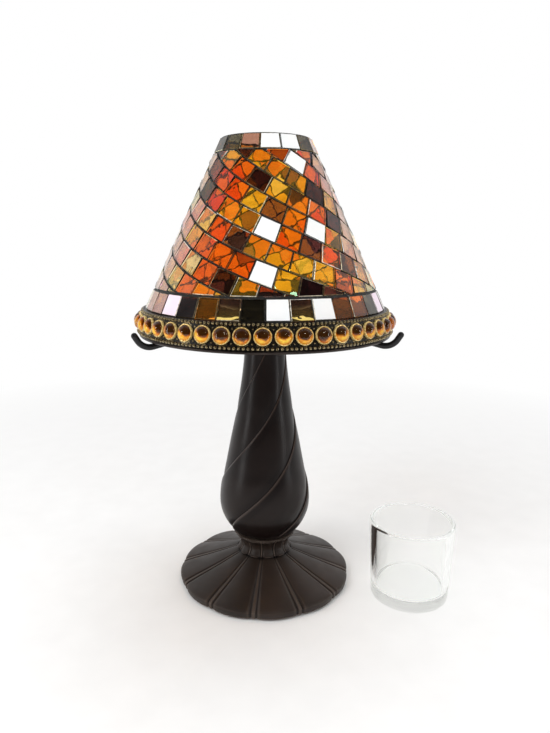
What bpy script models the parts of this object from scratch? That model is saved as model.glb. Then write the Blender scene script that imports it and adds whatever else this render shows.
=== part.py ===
"""Candle lamp: a cast column of four twisted leaves on a scalloped foot, three hooked arms that carry
a cone shade of glass mosaic with a jewelled rim, and a clear glass candle cup that stands beside it.

Metres, +Z up. The lamp's axis is Z, its underside is at height zero and -Y is the front. Angles round
the axis are counted from the front towards +X.
"""

import math
import random

import bmesh
import bpy
import numpy as np
from mathutils import Matrix, Vector

# Clearances, and how finely round things are cut
GAP = 0.0003
OVERRUN = 0.0040
MERGE_DISTANCE = 0.0000001
ROUND_SEGMENTS = 48
SMALL_SEGMENTS = 20
SHARP_ANGLE = math.radians(32)
LEAST_CORNER = math.radians(3)

# Foot, with the collar that holds the column's bulb
FELT_THICKNESS = 0.0015
FELT_INSET = 0.0020
FOOT_RADIUS = 0.0700
DISC_HEIGHT = 0.0250
DISC_INNER_RADIUS = 0.0220
GROOVE_DEPTH = 0.0018
COLLAR_HEIGHT = 0.0160
COLLAR_WAIST_RADIUS = 0.0200
COLLAR_LIP_RADIUS = 0.0252
LOBES = 12
LOBE_TURN = math.radians(-5.9)
# Across one lobe, from groove to groove: place, depth of the groove there
LOBE_SHARES = ((0.0, 1.0), (0.10, 0.35), (0.50, 0.0), (0.90, 0.35))
# Outlines from the top down: radius, height, depth of the grooves
COLLAR_SHARES = (
    (0.88, 1.00, 0.5),
    (1.00, 0.95, 0.7),
    (0.81, 0.87, 0.8),
    (0.25, 0.66, 0.8),
    (0.00, 0.38, 0.8),
    (0.25, 0.16, 0.7),
    (0.54, 0.06, 0.5),
)
DISC_SHARES = (
    (0.00, 1.00, 0.30),
    (0.17, 0.87, 0.45),
    (0.46, 0.65, 0.60),
    (0.75, 0.45, 0.80),
    (0.93, 0.32, 1.00),
    (0.99, 0.24, 1.00),
    (1.00, 0.15, 1.00),
    (0.985, 0.00, 1.00),
)

# Column
COLUMN_LENGTH = 0.1697
COLUMN_RADIUS = 0.0366
LEAVES = 4
LEAF_TURN = math.radians(19)
LEAF_TWIST = math.radians(283)
# Depth of the crease where one leaf runs under the next, of the radius there
CREASE_SHARE = 0.036
# Across one leaf: place, depth
LEAF_SHARES = (
    (0.0, 0.0),
    (0.12, 0.0),
    (0.28, 0.01),
    (0.45, 0.06),
    (0.62, 0.17),
    (0.78, 0.38),
    (0.92, 0.74),
    (0.985, 1.0),
)
# Outline from the bottom up: height, radius
COLUMN_SHARES = (
    (0.000, 0.580),
    (0.006, 0.640),
    (0.019, 0.722),
    (0.036, 0.796),
    (0.061, 0.872),
    (0.093, 0.940),
    (0.124, 0.982),
    (0.163, 1.000),
    (0.218, 0.985),
    (0.280, 0.938),
    (0.341, 0.872),
    (0.403, 0.810),
    (0.462, 0.755),
    (0.522, 0.697),
    (0.582, 0.640),
    (0.641, 0.594),
    (0.699, 0.549),
    (0.757, 0.508),
    (0.807, 0.478),
    (0.857, 0.455),
    (0.905, 0.440),
    (0.953, 0.430),
    (1.000, 0.424),
)

# Tie rod and its nut
ROD_RADIUS = 0.0030
ROD_CHAMFER = 0.0005
ROD_HEAD_RADIUS = 0.0060
ROD_HEAD_HEIGHT = 0.0030
ROD_TAIL = 0.0015
NUT_RADIUS = 0.0058
NUT_HEIGHT = 0.0050
NUT_SIDES = 6
NUT_WELL_RADIUS = 0.0100
NUT_WELL_DEPTH = 0.0090

# Hub, and the dish that a candle cup stands in
HUB_HEIGHT = 0.0150
HUB_RADIUS = 0.0170
HUB_BEVEL = 0.0015
DISH_RADIUS = 0.0360
DISH_HEIGHT = 0.0080
DISH_WALL = 0.0012
DISH_CORNER = 0.0020
DISH_WELL_RADIUS = 0.0075
DISH_WELL_DEPTH = 0.0040

# Arms
ARMS = 3
ARM_TURN = math.radians(64.1)
ARM_RADIUS = 0.00225
ARM_ROOT_RADIUS = 0.0090
ARM_ROOT_HEIGHT = 0.0074
ARM_SLOPE = math.radians(10)
ARM_BEND_RADIUS = 0.0112
ARM_TIP_SLOPE = math.radians(58)
ARM_TIP_LENGTH = 0.0063
ARM_BEND_STEPS = 5
ARM_TIP_STEPS = 3
# How far round its quarter the tip's rounding goes before a flat face ends it
ARM_TIP_ROUND_SHARE = 0.9
# How far inside the shade's edge the lowest point of an arm lies
ARM_SEAT_INSET = 0.0008

# Shade, without its rim: the outer faces of the tiles lie on this cone
CONE_BOTTOM_RADIUS = 0.0911
CONE_TOP_RADIUS = 0.0336
BOTTOM_ROW_HEIGHT = 0.0145
FIELD_HEIGHT = 0.0967
TOP_ROW_HEIGHT = 0.0110
MOSAIC_THICKNESS = 0.0026
GLASS_WALL = 0.0025
GLASS_TOP_SETBACK = 0.0004
# Tiles: the field's courses run down like the threads of a screw
COURSES = 12
COURSE_TURN = math.radians(-3.2)
COURSE_SPACING = 0.0146
TILE_TOP_PITCH = 0.0142
TILE_BOTTOM_PITCH = 0.0166
JOINT_WIDTH = 0.0011
JOINT_DEPTH = 0.0009
JOINT_LEAN_SHARE = 0.85
# Where each course's first cross joint lies, of the tiles' pitch
COURSE_OFFSET_SHARES = (0.56, 0.61, 0.66, 0.71, 0.76, 0.89, 0.93, 0.04, 0.08, 0.13, 0.25, 0.31)
BOTTOM_ROW_TILES = 35
BOTTOM_ROW_TURN = math.radians(0.9)
TOP_ROW_TILES = 16
TOP_ROW_TURN = math.radians(-5.6)
TILE_SEED = 11
# Glass colours: linear colour and how many tiles of ten have it
TILE_GLASSES = {
    "amber_glass": ((0.78, 0.32, 0.03), 4),
    "orange_glass": ((0.66, 0.11, 0.01), 3),
    "brown_glass": ((0.10, 0.03, 0.02), 2),
    "silver_glass": ((0.80, 0.80, 0.78), 1),
}

# Rim: a rolled channel under the glass, and the jewelled strip round it
CABOCHONS = 45
TRIM_LEAN = math.radians(13)
STRIP_THICKNESS = 0.0010
LIP_HEIGHT = 0.0024
LIP_SETBACK = 0.0008
LIP_ROUND = 0.0006
CHANNEL_WALL = 0.0012
# The channel's wall beside the glass's foot, and how far the glass reaches down behind the strip
CHANNEL_SIDE = 0.00085
GLASS_TUCK = 0.0105
CHANNEL_FLANGE = 0.0042
BEZEL_SPACING = 0.00172
BEZEL_MARGIN = 0.00045
BEZEL_HEIGHT = 0.0019
BEZEL_WALL = 0.0006
BEZEL_SIDES = 8
BEAD_ROW = 0.0024
BEAD_HEIGHT = 0.0009
CABOCHON_GIRDLE = 0.0012
CABOCHON_DOME = 0.0035
DOME_STEP = math.radians(50)

# Candle cup
CUP_PLACE = Vector((0.1164, -0.0285, 0.0))
CUP_HEIGHT = 0.0629
CUP_TOP_RADIUS = 0.0331
CUP_BOTTOM_RADIUS = 0.0304
CUP_WALL = 0.0034
CUP_BASE = 0.0085
CUP_CORNER = 0.0030
CUP_LIP = 0.0008

# Sizes that follow
QUARTER = math.pi / 2
TURN = 2 * math.pi
FOOT_BASE = FELT_THICKNESS + GAP
COLLAR_TOP = DISC_HEIGHT + COLLAR_HEIGHT
COLUMN_BASE = COLLAR_TOP + GAP
HUB_BASE = COLUMN_BASE + COLUMN_LENGTH + GAP
HUB_TOP = HUB_BASE + HUB_HEIGHT
ROD_BORE_RADIUS = ROD_RADIUS + GAP
DISH_FLOOR = HUB_TOP + GAP
SLOPE = (CONE_BOTTOM_RADIUS - CONE_TOP_RADIUS) / (BOTTOM_ROW_HEIGHT + FIELD_HEIGHT + TOP_ROW_HEIGHT)
CONE_ANGLE = math.atan(SLOPE)
GLASS_DEPTH = MOSAIC_THICKNESS + GAP
# The glass's foot, and the strip's outer face level with it
GLASS_FOOT_RADIUS = CONE_BOTTOM_RADIUS + SLOPE * (GLASS_TUCK + GAP) - GLASS_DEPTH / math.cos(CONE_ANGLE)
SEAT_RADIUS = GLASS_FOOT_RADIUS + CHANNEL_SIDE + STRIP_THICKNESS + 2 * GAP
CABOCHON_PITCH = TURN * SEAT_RADIUS / CABOCHONS
BEZEL_RADIUS = (CABOCHON_PITCH - BEZEL_SPACING) / 2
TRIM_HEIGHT = 2 * (BEZEL_RADIUS + BEZEL_MARGIN + BEAD_ROW)
TRIM_TOP_RADIUS = SEAT_RADIUS - GLASS_TUCK * math.tan(TRIM_LEAN)
LIP_RADIUS = TRIM_TOP_RADIUS + TRIM_HEIGHT * math.tan(TRIM_LEAN) - LIP_SETBACK
FLANGE_INNER_RADIUS = LIP_RADIUS - CHANNEL_FLANGE
ARM_ROOT = Vector((ARM_ROOT_RADIUS, 0, HUB_BASE + ARM_ROOT_HEIGHT))
ARM_DIRECTION = Vector((math.cos(ARM_SLOPE), 0, -math.sin(ARM_SLOPE)))
ARM_LOW_RADIUS = LIP_RADIUS - ARM_SEAT_INSET


def arm_height(radius):
    """Height of the straight run's centre line at a distance from the axis."""
    return ARM_ROOT.z - (radius - ARM_ROOT.x) * math.tan(ARM_SLOPE)


SHADE_BASE = arm_height(FLANGE_INNER_RADIUS) + ARM_RADIUS / math.cos(ARM_SLOPE) + GAP
TRIM_BASE = SHADE_BASE + LIP_HEIGHT + GAP
TRIM_TOP = TRIM_BASE + TRIM_HEIGHT
CONE_BASE = TRIM_TOP + GAP
FIELD_BASE = CONE_BASE + BOTTOM_ROW_HEIGHT
FIELD_TOP = FIELD_BASE + FIELD_HEIGHT
CONE_TOP = FIELD_TOP + TOP_ROW_HEIGHT
LEDGE = TRIM_TOP - GLASS_TUCK
GLASS_BASE = LEDGE + GAP
# How far a course drops in a radian
COURSE_DROP = COURSES * COURSE_SPACING / TURN


def clear_scene():
    for thing in list(bpy.data.objects):
        bpy.data.objects.remove(thing)


def finish(name, colour, roughness, metallic=0.0, transmission=0.0):
    """A material of one colour."""
    material = bpy.data.materials.new(name)
    material.use_nodes = True
    shader = material.node_tree.nodes["Principled BSDF"]
    shader.inputs["Base Color"].default_value = (*colour, 1)
    shader.inputs["Roughness"].default_value = roughness
    shader.inputs["Metallic"].default_value = metallic
    shader.inputs["Transmission Weight"].default_value = transmission
    material.diffuse_color = (*colour, 1)
    return material


def add(name, shape, *materials):
    """Makes an object of a bmesh or of a mesh that another object has."""
    if isinstance(shape, bmesh.types.BMesh):
        bmesh.ops.remove_doubles(shape, verts=shape.verts, dist=MERGE_DISTANCE)
        bmesh.ops.recalc_face_normals(shape, faces=shape.faces)
        mesh = bpy.data.meshes.new(name)
        shape.to_mesh(mesh)
        shape.free()
        for material in materials:
            mesh.materials.append(material)
        mesh.shade_smooth()
        mesh.set_sharp_from_angle(angle=SHARP_ANGLE)
    else:
        mesh = shape
    thing = bpy.data.objects.new(name, mesh)
    bpy.context.collection.objects.link(thing)
    return thing


def cut(thing, cutter):
    """Takes the cutter's shape out of an object."""
    cutter.hide_render = True
    cutter.display_type = "WIRE"
    modifier = thing.modifiers.new(cutter.name, "BOOLEAN")
    modifier.operation = "DIFFERENCE"
    modifier.solver = "EXACT"
    modifier.object = cutter


def around(radius, angle, height):
    """The point at an angle from the front, towards +X."""
    return Vector((radius * math.sin(angle), -radius * math.cos(angle), height))


def turned(outline, segments=ROUND_SEGMENTS, start=0.0, closed=False):
    """Spins an outline of (radius, height) points once round the axis."""
    shape = bmesh.new()
    points = [shape.verts.new(around(radius, start, height)) for radius, height in outline]
    pairs = list(zip(points, points[1:]))
    if closed:
        pairs.append((points[-1], points[0]))
    edges = [shape.edges.new(pair) for pair in pairs]
    bmesh.ops.spin(
        shape,
        geom=points + edges,
        cent=Vector(),
        axis=Vector((0, 0, 1)),
        angle=TURN,
        steps=segments,
        use_merge=True,
    )
    return shape


def lofted(rings):
    """Joins rings of as many points each into a skin, with a flat face at each end."""
    shape = bmesh.new()
    loops = [[shape.verts.new(point) for point in ring] for ring in rings]
    count = len(loops[0])
    for lower, upper in zip(loops, loops[1:]):
        for i in range(count):
            j = (i + 1) % count
            shape.faces.new((lower[i], lower[j], upper[j], upper[i]))
    shape.faces.new(loops[0])
    shape.faces.new(loops[-1])
    return shape


def rounded(corner, radius, start, stop, steps):
    """Points of a quarter round about a corner's centre, in the plane of an outline."""
    span = stop - start
    angles = [start + span * i / steps for i in range(steps + 1)]
    return [(corner[0] + radius * math.cos(a), corner[1] + radius * math.sin(a)) for a in angles]


def foot_outline():
    """(radius, height, groove) from the collar's top to the underside."""
    lip = COLLAR_LIP_RADIUS - COLLAR_WAIST_RADIUS
    disc = FOOT_RADIUS - DISC_INNER_RADIUS
    rise = DISC_HEIGHT - FOOT_BASE
    collar = [
        (COLLAR_WAIST_RADIUS + lip * out, DISC_HEIGHT + COLLAR_HEIGHT * up, groove)
        for out, up, groove in COLLAR_SHARES
    ]
    return collar + [
        (DISC_INNER_RADIUS + disc * out, FOOT_BASE + rise * up, groove)
        for out, up, groove in DISC_SHARES
    ]


def foot_ring(outline, index):
    """One scalloped ring: its grooves sink square to the surface, and the ends stay level."""
    radius, height, groove = outline[index]
    outward = Vector((1, 0))
    if 0 < index < len(outline) - 1:
        before, after = outline[index - 1], outline[index + 1]
        outward = Vector((before[1] - after[1], after[0] - before[0])).normalized()
    ring = []
    for lobe in range(LOBES):
        for place, depth in LOBE_SHARES:
            angle = LOBE_TURN + (lobe + place) * TURN / LOBES
            sink = groove * depth * GROOVE_DEPTH
            ring.append(around(radius - sink * outward.x, angle, height - sink * outward.y))
    return ring


def make_foot(bronze):
    outline = foot_outline()
    foot = add("foot", lofted([foot_ring(outline, i) for i in range(len(outline))]), bronze)
    well_top = FOOT_BASE + NUT_WELL_DEPTH
    bore = [
        (0, FOOT_BASE - OVERRUN),
        (NUT_WELL_RADIUS, FOOT_BASE - OVERRUN),
        (NUT_WELL_RADIUS, well_top),
        (ROD_BORE_RADIUS, well_top),
        (ROD_BORE_RADIUS, COLLAR_TOP + OVERRUN),
        (0, COLLAR_TOP + OVERRUN),
    ]
    cut(foot, add("foot_bore", turned(bore, SMALL_SEGMENTS)))


def make_felt(felt):
    radius = FOOT_RADIUS * DISC_SHARES[-1][0] - GROOVE_DEPTH - FELT_INSET
    outline = [(0, 0), (radius, 0), (radius, FELT_THICKNESS), (0, FELT_THICKNESS)]
    add("foot_felt", turned(outline), felt)


def make_column(bronze):
    """Four leaves that overlap like petals, twisted round the axis."""
    rings = []
    for up, out in COLUMN_SHARES:
        radius = COLUMN_RADIUS * out
        height = COLUMN_BASE + COLUMN_LENGTH * up
        ring = []
        for leaf in range(LEAVES):
            for place, depth in LEAF_SHARES:
                angle = LEAF_TURN + LEAF_TWIST * up + (leaf + place) * TURN / LEAVES
                ring.append(around(radius * (1 - CREASE_SHARE * depth), angle, height))
        rings.append(ring)
    column = add("column", lofted(rings), bronze)
    low, high = COLUMN_BASE - OVERRUN, COLUMN_BASE + COLUMN_LENGTH + OVERRUN
    bore = [(0, low), (ROD_BORE_RADIUS, low), (ROD_BORE_RADIUS, high), (0, high)]
    cut(column, add("column_bore", turned(bore, SMALL_SEGMENTS)))


def make_rod(steel):
    """The rod that holds the foot, the column, the hub and the dish together, and its nut."""
    well_top = FOOT_BASE + NUT_WELL_DEPTH
    nut_base = well_top - GAP - NUT_HEIGHT
    low = nut_base - ROD_TAIL
    seat = DISH_FLOOR + DISH_WALL - DISH_WELL_DEPTH + GAP
    outline = [
        (0, low),
        (ROD_RADIUS - ROD_CHAMFER, low),
        (ROD_RADIUS, low + ROD_CHAMFER),
        (ROD_RADIUS, seat),
        (ROD_HEAD_RADIUS, seat),
        (ROD_HEAD_RADIUS, seat + ROD_HEAD_HEIGHT / 2),
        (ROD_HEAD_RADIUS - ROD_HEAD_HEIGHT / 2, seat + ROD_HEAD_HEIGHT),
        (0, seat + ROD_HEAD_HEIGHT),
    ]
    add("tie_rod", turned(outline, SMALL_SEGMENTS), steel)
    nut = bmesh.new()
    bmesh.ops.create_cone(
        nut,
        cap_ends=True,
        segments=NUT_SIDES,
        radius1=NUT_RADIUS,
        radius2=NUT_RADIUS,
        depth=NUT_HEIGHT,
        matrix=Matrix.Translation((0, 0, nut_base + NUT_HEIGHT / 2)),
    )
    body = add("rod_nut", nut, steel)
    low, high = nut_base - OVERRUN, well_top + OVERRUN
    bore = [(0, low), (ROD_BORE_RADIUS, low), (ROD_BORE_RADIUS, high), (0, high)]
    cut(body, add("nut_bore", turned(bore, SMALL_SEGMENTS)))


def make_hub(iron):
    """The hub that the arms are let into; the dish's well sinks into its top."""
    well = DISH_WELL_RADIUS + DISH_WALL + GAP
    outline = [
        (ROD_BORE_RADIUS, HUB_BASE),
        (HUB_RADIUS - HUB_BEVEL, HUB_BASE),
        (HUB_RADIUS, HUB_BASE + HUB_BEVEL),
        (HUB_RADIUS, HUB_TOP - HUB_BEVEL),
        (HUB_RADIUS - HUB_BEVEL, HUB_TOP),
        (well, HUB_TOP),
        (well, HUB_TOP - DISH_WELL_DEPTH),
        (ROD_BORE_RADIUS, HUB_TOP - DISH_WELL_DEPTH),
    ]
    hub = add("hub", turned(outline, ROUND_SEGMENTS // 2, closed=True), iron)
    length = HUB_RADIUS + OVERRUN - ARM_ROOT.x
    start = ARM_ROOT - ARM_DIRECTION * GAP
    for i in range(ARMS):
        spin = Matrix.Rotation(ARM_TURN - QUARTER + i * TURN / ARMS, 4, "Z")
        tilt = ARM_DIRECTION.to_track_quat("Z", "X").to_matrix().to_4x4()
        middle = Matrix.Translation(start + ARM_DIRECTION * length / 2)
        socket = bmesh.new()
        bmesh.ops.create_cone(
            socket,
            cap_ends=True,
            segments=SMALL_SEGMENTS // 2,
            radius1=ARM_RADIUS + GAP,
            radius2=ARM_RADIUS + GAP,
            depth=length,
            matrix=spin @ middle @ tilt,
        )
        cut(hub, add(f"hub_socket_{i + 1}", socket))


def arm_path():
    """(point, share of the rod's radius): a slope down and outward, a hook, and a rounded tip."""
    centre = Vector((ARM_LOW_RADIUS, 0, 0))
    bend_start = ARM_LOW_RADIUS - ARM_BEND_RADIUS * math.sin(ARM_SLOPE)
    centre.z = arm_height(bend_start) + ARM_BEND_RADIUS * math.cos(ARM_SLOPE)
    path = [(ARM_ROOT, 1.0)]
    sweep = ARM_SLOPE + ARM_TIP_SLOPE
    for i in range(ARM_BEND_STEPS + 1):
        angle = sweep * i / ARM_BEND_STEPS - ARM_SLOPE
        down = Vector((math.sin(angle), 0, -math.cos(angle)))
        path.append((centre + down * ARM_BEND_RADIUS, 1.0))
    along = Vector((math.cos(ARM_TIP_SLOPE), 0, math.sin(ARM_TIP_SLOPE)))
    shoulder = path[-1][0] + along * (ARM_TIP_LENGTH - ARM_RADIUS)
    for i in range(ARM_TIP_STEPS + 1):
        angle = QUARTER * ARM_TIP_ROUND_SHARE * i / ARM_TIP_STEPS
        path.append((shoulder + along * ARM_RADIUS * math.sin(angle), math.cos(angle)))
    return path


def make_arms(iron):
    path = arm_path()
    for i in range(ARMS):
        name = f"arm_{i + 1}"
        curve = bpy.data.curves.new(name, "CURVE")
        curve.dimensions = "3D"
        curve.bevel_depth = ARM_RADIUS
        curve.bevel_resolution = 3
        curve.use_fill_caps = True
        spline = curve.splines.new("POLY")
        spline.points.add(len(path) - 1)
        spline.use_smooth = True
        for knot, (point, share) in zip(spline.points, path):
            knot.co = (*point, 1)
            knot.radius = share
        curve.materials.append(iron)
        arm = bpy.data.objects.new(name, curve)
        arm.rotation_euler.z = ARM_TURN - QUARTER + i * TURN / ARMS
        bpy.context.collection.objects.link(arm)


def make_dish(iron):
    """A pressed dish with a turned-up rim; the rod's head sits in its well."""
    floor_top = DISH_FLOOR + DISH_WALL
    well_floor = DISH_FLOOR - DISH_WELL_DEPTH + DISH_WALL
    outer = DISH_RADIUS
    corner = (outer - DISH_WALL - DISH_CORNER, floor_top + DISH_CORNER)
    inside = rounded(corner, DISH_CORNER, 0, -QUARTER, 2)
    outside = rounded(corner, DISH_CORNER + DISH_WALL, -QUARTER, 0, 2)
    outline = [
        (ROD_BORE_RADIUS, well_floor - DISH_WALL + GAP),
        (DISH_WELL_RADIUS + DISH_WALL, well_floor - DISH_WALL + GAP),
        (DISH_WELL_RADIUS + DISH_WALL, DISH_FLOOR),
        *outside,
        (outer, DISH_FLOOR + DISH_HEIGHT),
        (outer - DISH_WALL, DISH_FLOOR + DISH_HEIGHT),
        *inside,
        (DISH_WELL_RADIUS, floor_top),
        (DISH_WELL_RADIUS, well_floor),
        (ROD_BORE_RADIUS, well_floor),
    ]
    add("cup_dish", turned(outline, ROUND_SEGMENTS * 2 // 3, closed=True), iron)


def cone_radius(height):
    return CONE_BOTTOM_RADIUS - SLOPE * (height - CONE_BASE)


def skin_radius(height, depth):
    """Radius of a cone that lies a depth under the tiles' faces, at a height."""
    return cone_radius(height) - depth / math.cos(CONE_ANGLE)


def cone_normal(angle):
    flat = around(math.cos(CONE_ANGLE), angle, 0)
    return flat + Vector((0, 0, math.sin(CONE_ANGLE)))


def on_cone(angle, height, depth=0.0):
    return around(skin_radius(height, depth), angle, height)


def make_shade_glass(glass):
    """The clear cone that the mosaic is laid on."""
    top = CONE_TOP - GLASS_TOP_SETBACK
    inner = GLASS_DEPTH + GLASS_WALL
    outline = [
        (skin_radius(GLASS_BASE, GLASS_DEPTH), GLASS_BASE),
        (skin_radius(top, GLASS_DEPTH), top),
        (skin_radius(top, inner), top),
        (skin_radius(GLASS_BASE, inner), GLASS_BASE),
    ]
    start = TURN / CABOCHONS / 2
    add("shade_glass", turned(outline, CABOCHONS, start, closed=True), glass)


def row_cells(tiles, turn, low, high):
    """Cells of a level row, as outlines of (angle, height) corners."""
    step = TURN / tiles
    cells = []
    for i in range(tiles):
        left, right = turn + i * step, turn + (i + 1) * step
        cells.append([(left, low), (right, low), (right, high), (left, high)])
    return cells


def tile_pitch(height):
    """Length of a field tile, which grows down the shade."""
    share = (height - FIELD_BASE) / FIELD_HEIGHT
    return TILE_BOTTOM_PITCH + (TILE_TOP_PITCH - TILE_BOTTOM_PITCH) * share


def course_joints(course):
    """Where a course's cross joints meet its lower and its upper edge, as (angle, height) pairs."""
    start = COURSE_TURN + (course + 0.5) * TURN / COURSES
    joints = []
    angle = start - 2 * TILE_TOP_PITCH / CONE_TOP_RADIUS
    slant = COURSE_DROP / math.cos(CONE_ANGLE)
    moved = False
    while True:
        middle = FIELD_TOP - COURSE_DROP * (angle - start)
        level = min(middle, FIELD_TOP)
        radius = cone_radius(level)
        if moved:
            lean = JOINT_LEAN_SHARE * slant / math.cos(CONE_ANGLE) / radius**2
            reach = COURSE_SPACING / 2 / (1 + COURSE_DROP * lean)
            low = (angle - lean * reach, middle - reach)
            high = (angle + lean * reach, middle + reach)
            joints.append((low, high))
            if high[1] < FIELD_BASE - COURSE_SPACING:
                return joints
        share = 1 if moved else COURSE_OFFSET_SHARES[course % len(COURSE_OFFSET_SHARES)]
        angle += share * tile_pitch(level) / math.hypot(radius, slant)
        moved = True


def clipped(cell, height, keep_above):
    """The part of a convex cell on one side of a level line."""
    sign = 1 if keep_above else -1
    kept = []
    for (angle, level), (next_angle, next_level) in zip(cell, cell[1:] + cell[:1]):
        here, there = sign * (level - height), sign * (next_level - height)
        if here >= 0:
            kept.append((angle, level))
        if here * there < 0:
            share = here / (here - there)
            kept.append((angle + share * (next_angle - angle), height))
    return kept


def field_cells():
    cells = []
    for course in range(COURSES):
        joints = course_joints(course)
        for (low, high), (next_low, next_high) in zip(joints, joints[1:]):
            cell = clipped([low, next_low, next_high, high], FIELD_BASE, True)
            cell = clipped(cell, FIELD_TOP, False) if cell else cell
            if len(cell) > 2:
                cells.append(cell)
    return cells


def with_joints_between(cell, places):
    """Each edge of a cell as its two ends and whatever corners of other cells lie along it."""
    sides = []
    for start, end in zip(cell, cell[1:] + cell[:1]):
        run = np.subtract(end, start)
        length = np.linalg.norm(run)
        along = (places - start) @ run / length
        off = np.abs((places - start) @ np.array([-run[1], run[0]])) / length
        near = (off < MERGE_DISTANCE) & (along > MERGE_DISTANCE) & (along < length - MERGE_DISTANCE)
        order = along[near].argsort()
        between = [tuple(place) for place in places[near][order]]
        sides.append([start, *between, end])
    return sides


def inset(corners, distance):
    """Moves each side of a convex flat outline inwards. A side too short to keep shrinks to a point."""
    count = len(corners)
    runs = [(end - start).normalized() for start, end in zip(corners, corners[1:] + corners[:1])]
    kept = list(range(count))
    while len(kept) > 2:
        spots = {}
        for before, here in zip(kept[-1:] + kept[:-1], kept):
            first, second = runs[before], runs[here]
            turn = first.cross(second)
            if abs(turn) < math.sin(LEAST_CORNER):
                return []
            reach = (corners[here] - corners[before]).cross(second) / turn
            spots[here] = corners[before] + first * reach - (first - second) * distance / turn
        ends = kept[1:] + kept[:1]
        lengths = [runs[here].dot(spots[after] - spots[here]) for here, after in zip(kept, ends)]
        if min(lengths) > GAP:
            return [spots[min(kept, key=lambda side: (side - i) % count)] for i in range(count)]
        del kept[lengths.index(min(lengths))]
    return []


def tile_face(cell):
    """The flat top of the tile in a cell, inset by half a joint."""
    corners = [on_cone(*corner) for corner in cell]
    centre = sum(corners, Vector()) / len(corners)
    angle = sum(corner[0] for corner in cell) / len(cell)
    across = around(1, angle + QUARTER, 0)
    up = cone_normal(angle).cross(across)
    flat = [Vector(((c - centre).dot(across), (c - centre).dot(up))) for c in corners]
    return [centre + across * p.x + up * p.y for p in inset(flat, JOINT_WIDTH / 2)]


def make_mosaic(grout, glasses):
    """Tiles set in grout: one skin, with the joints sunk between raised flat tiles."""
    cells = row_cells(BOTTOM_ROW_TILES, BOTTOM_ROW_TURN, CONE_BASE, FIELD_BASE)
    cells += field_cells()
    cells += row_cells(TOP_ROW_TILES, TOP_ROW_TURN, FIELD_TOP, CONE_TOP)
    edge_angles = sorted(
        {BOTTOM_ROW_TURN + i * TURN / BOTTOM_ROW_TILES for i in range(BOTTOM_ROW_TILES)}
        | {TOP_ROW_TURN + i * TURN / TOP_ROW_TILES for i in range(TOP_ROW_TILES)}
        | {i * TURN / ROUND_SEGMENTS for i in range(ROUND_SEGMENTS)},
        key=lambda angle: angle % TURN,
    )
    corners = {corner for cell in cells for corner in cell}
    corners |= {(angle, height) for angle in edge_angles for height in (CONE_BASE, CONE_TOP)}
    places = np.array([(a + turns * TURN, h) for a, h in sorted(corners) for turns in (-1, 0, 1)])
    shape = bmesh.new()
    known = {}

    def grout_point(place):
        """One vertex for each place, however many cells meet there."""
        point = on_cone(*place, JOINT_DEPTH)
        key = tuple(round(value, 7) for value in point)
        if key not in known:
            known[key] = shape.verts.new(point)
        return known[key]

    names = random.Random(TILE_SEED)
    weights = [weight for _, weight in TILE_GLASSES.values()]
    for cell in cells:
        sides = with_joints_between(cell, places)
        loops = [list(dict.fromkeys(grout_point(place) for place in side)) for side in sides]
        face = [tuple(point) for point in tile_face(cell)]
        if not face:
            shape.faces.new([vert for loop in loops for vert in loop[:-1]])
            continue
        made = {point: shape.verts.new(point) for point in dict.fromkeys(face)}
        top = [made[point] for point in face]
        for i, loop in enumerate(loops):
            shape.faces.new(list(dict.fromkeys([*loop, top[(i + 1) % len(top)], top[i]])))
        tile = shape.faces.new(list(made.values()))
        tile.material_index = 1 + names.choices(range(len(weights)), weights)[0]
    back = []
    for height in (CONE_BASE, CONE_TOP):
        ring = [on_cone(angle, height, MOSAIC_THICKNESS) for angle in edge_angles]
        back.append([shape.verts.new(point) for point in ring])
    for i in range(len(edge_angles)):
        j = (i + 1) % len(edge_angles)
        front = [grout_point((edge_angles[n], h)) for h in (CONE_BASE, CONE_TOP) for n in (i, j)]
        shape.faces.new((back[0][i], back[0][j], front[1], front[0]))
        shape.faces.new((back[1][i], back[1][j], front[3], front[2]))
        shape.faces.new((back[0][i], back[0][j], back[1][j], back[1][i]))
    add("mosaic", shape, grout, *glasses)


def trim_radius(height):
    return TRIM_TOP_RADIUS + (TRIM_TOP - height) * math.tan(TRIM_LEAN)


def make_channel(bronze):
    """The rolled rim: a ledge under the glass, a wall behind the strip and a lip that shows below it."""
    behind = STRIP_THICKNESS + GAP
    lip_top = SHADE_BASE + LIP_HEIGHT
    wall_low = trim_radius(lip_top) - behind
    wall_inner = wall_low - CHANNEL_WALL
    outline = [
        (FLANGE_INNER_RADIUS, SHADE_BASE),
        (LIP_RADIUS - LIP_ROUND, SHADE_BASE),
        (LIP_RADIUS, SHADE_BASE + LIP_ROUND),
        (LIP_RADIUS, lip_top - LIP_ROUND),
        (LIP_RADIUS - LIP_ROUND, lip_top),
        (wall_low, lip_top),
        (trim_radius(TRIM_TOP) - behind, TRIM_TOP),
        (skin_radius(TRIM_TOP, GLASS_DEPTH) + GAP, TRIM_TOP),
        (skin_radius(LEDGE, GLASS_DEPTH) + GAP, LEDGE),
        (skin_radius(LEDGE, GLASS_DEPTH + GLASS_WALL), LEDGE),
        (skin_radius(LEDGE, GLASS_DEPTH + GLASS_WALL), LEDGE - CHANNEL_WALL),
        (wall_inner, LEDGE - CHANNEL_WALL),
        (wall_inner, SHADE_BASE + CHANNEL_WALL),
        (FLANGE_INNER_RADIUS, SHADE_BASE + CHANNEL_WALL),
    ]
    start = TURN / CABOCHONS / 2
    add("rim_channel", turned(outline, CABOCHONS, start, closed=True), bronze)


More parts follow.
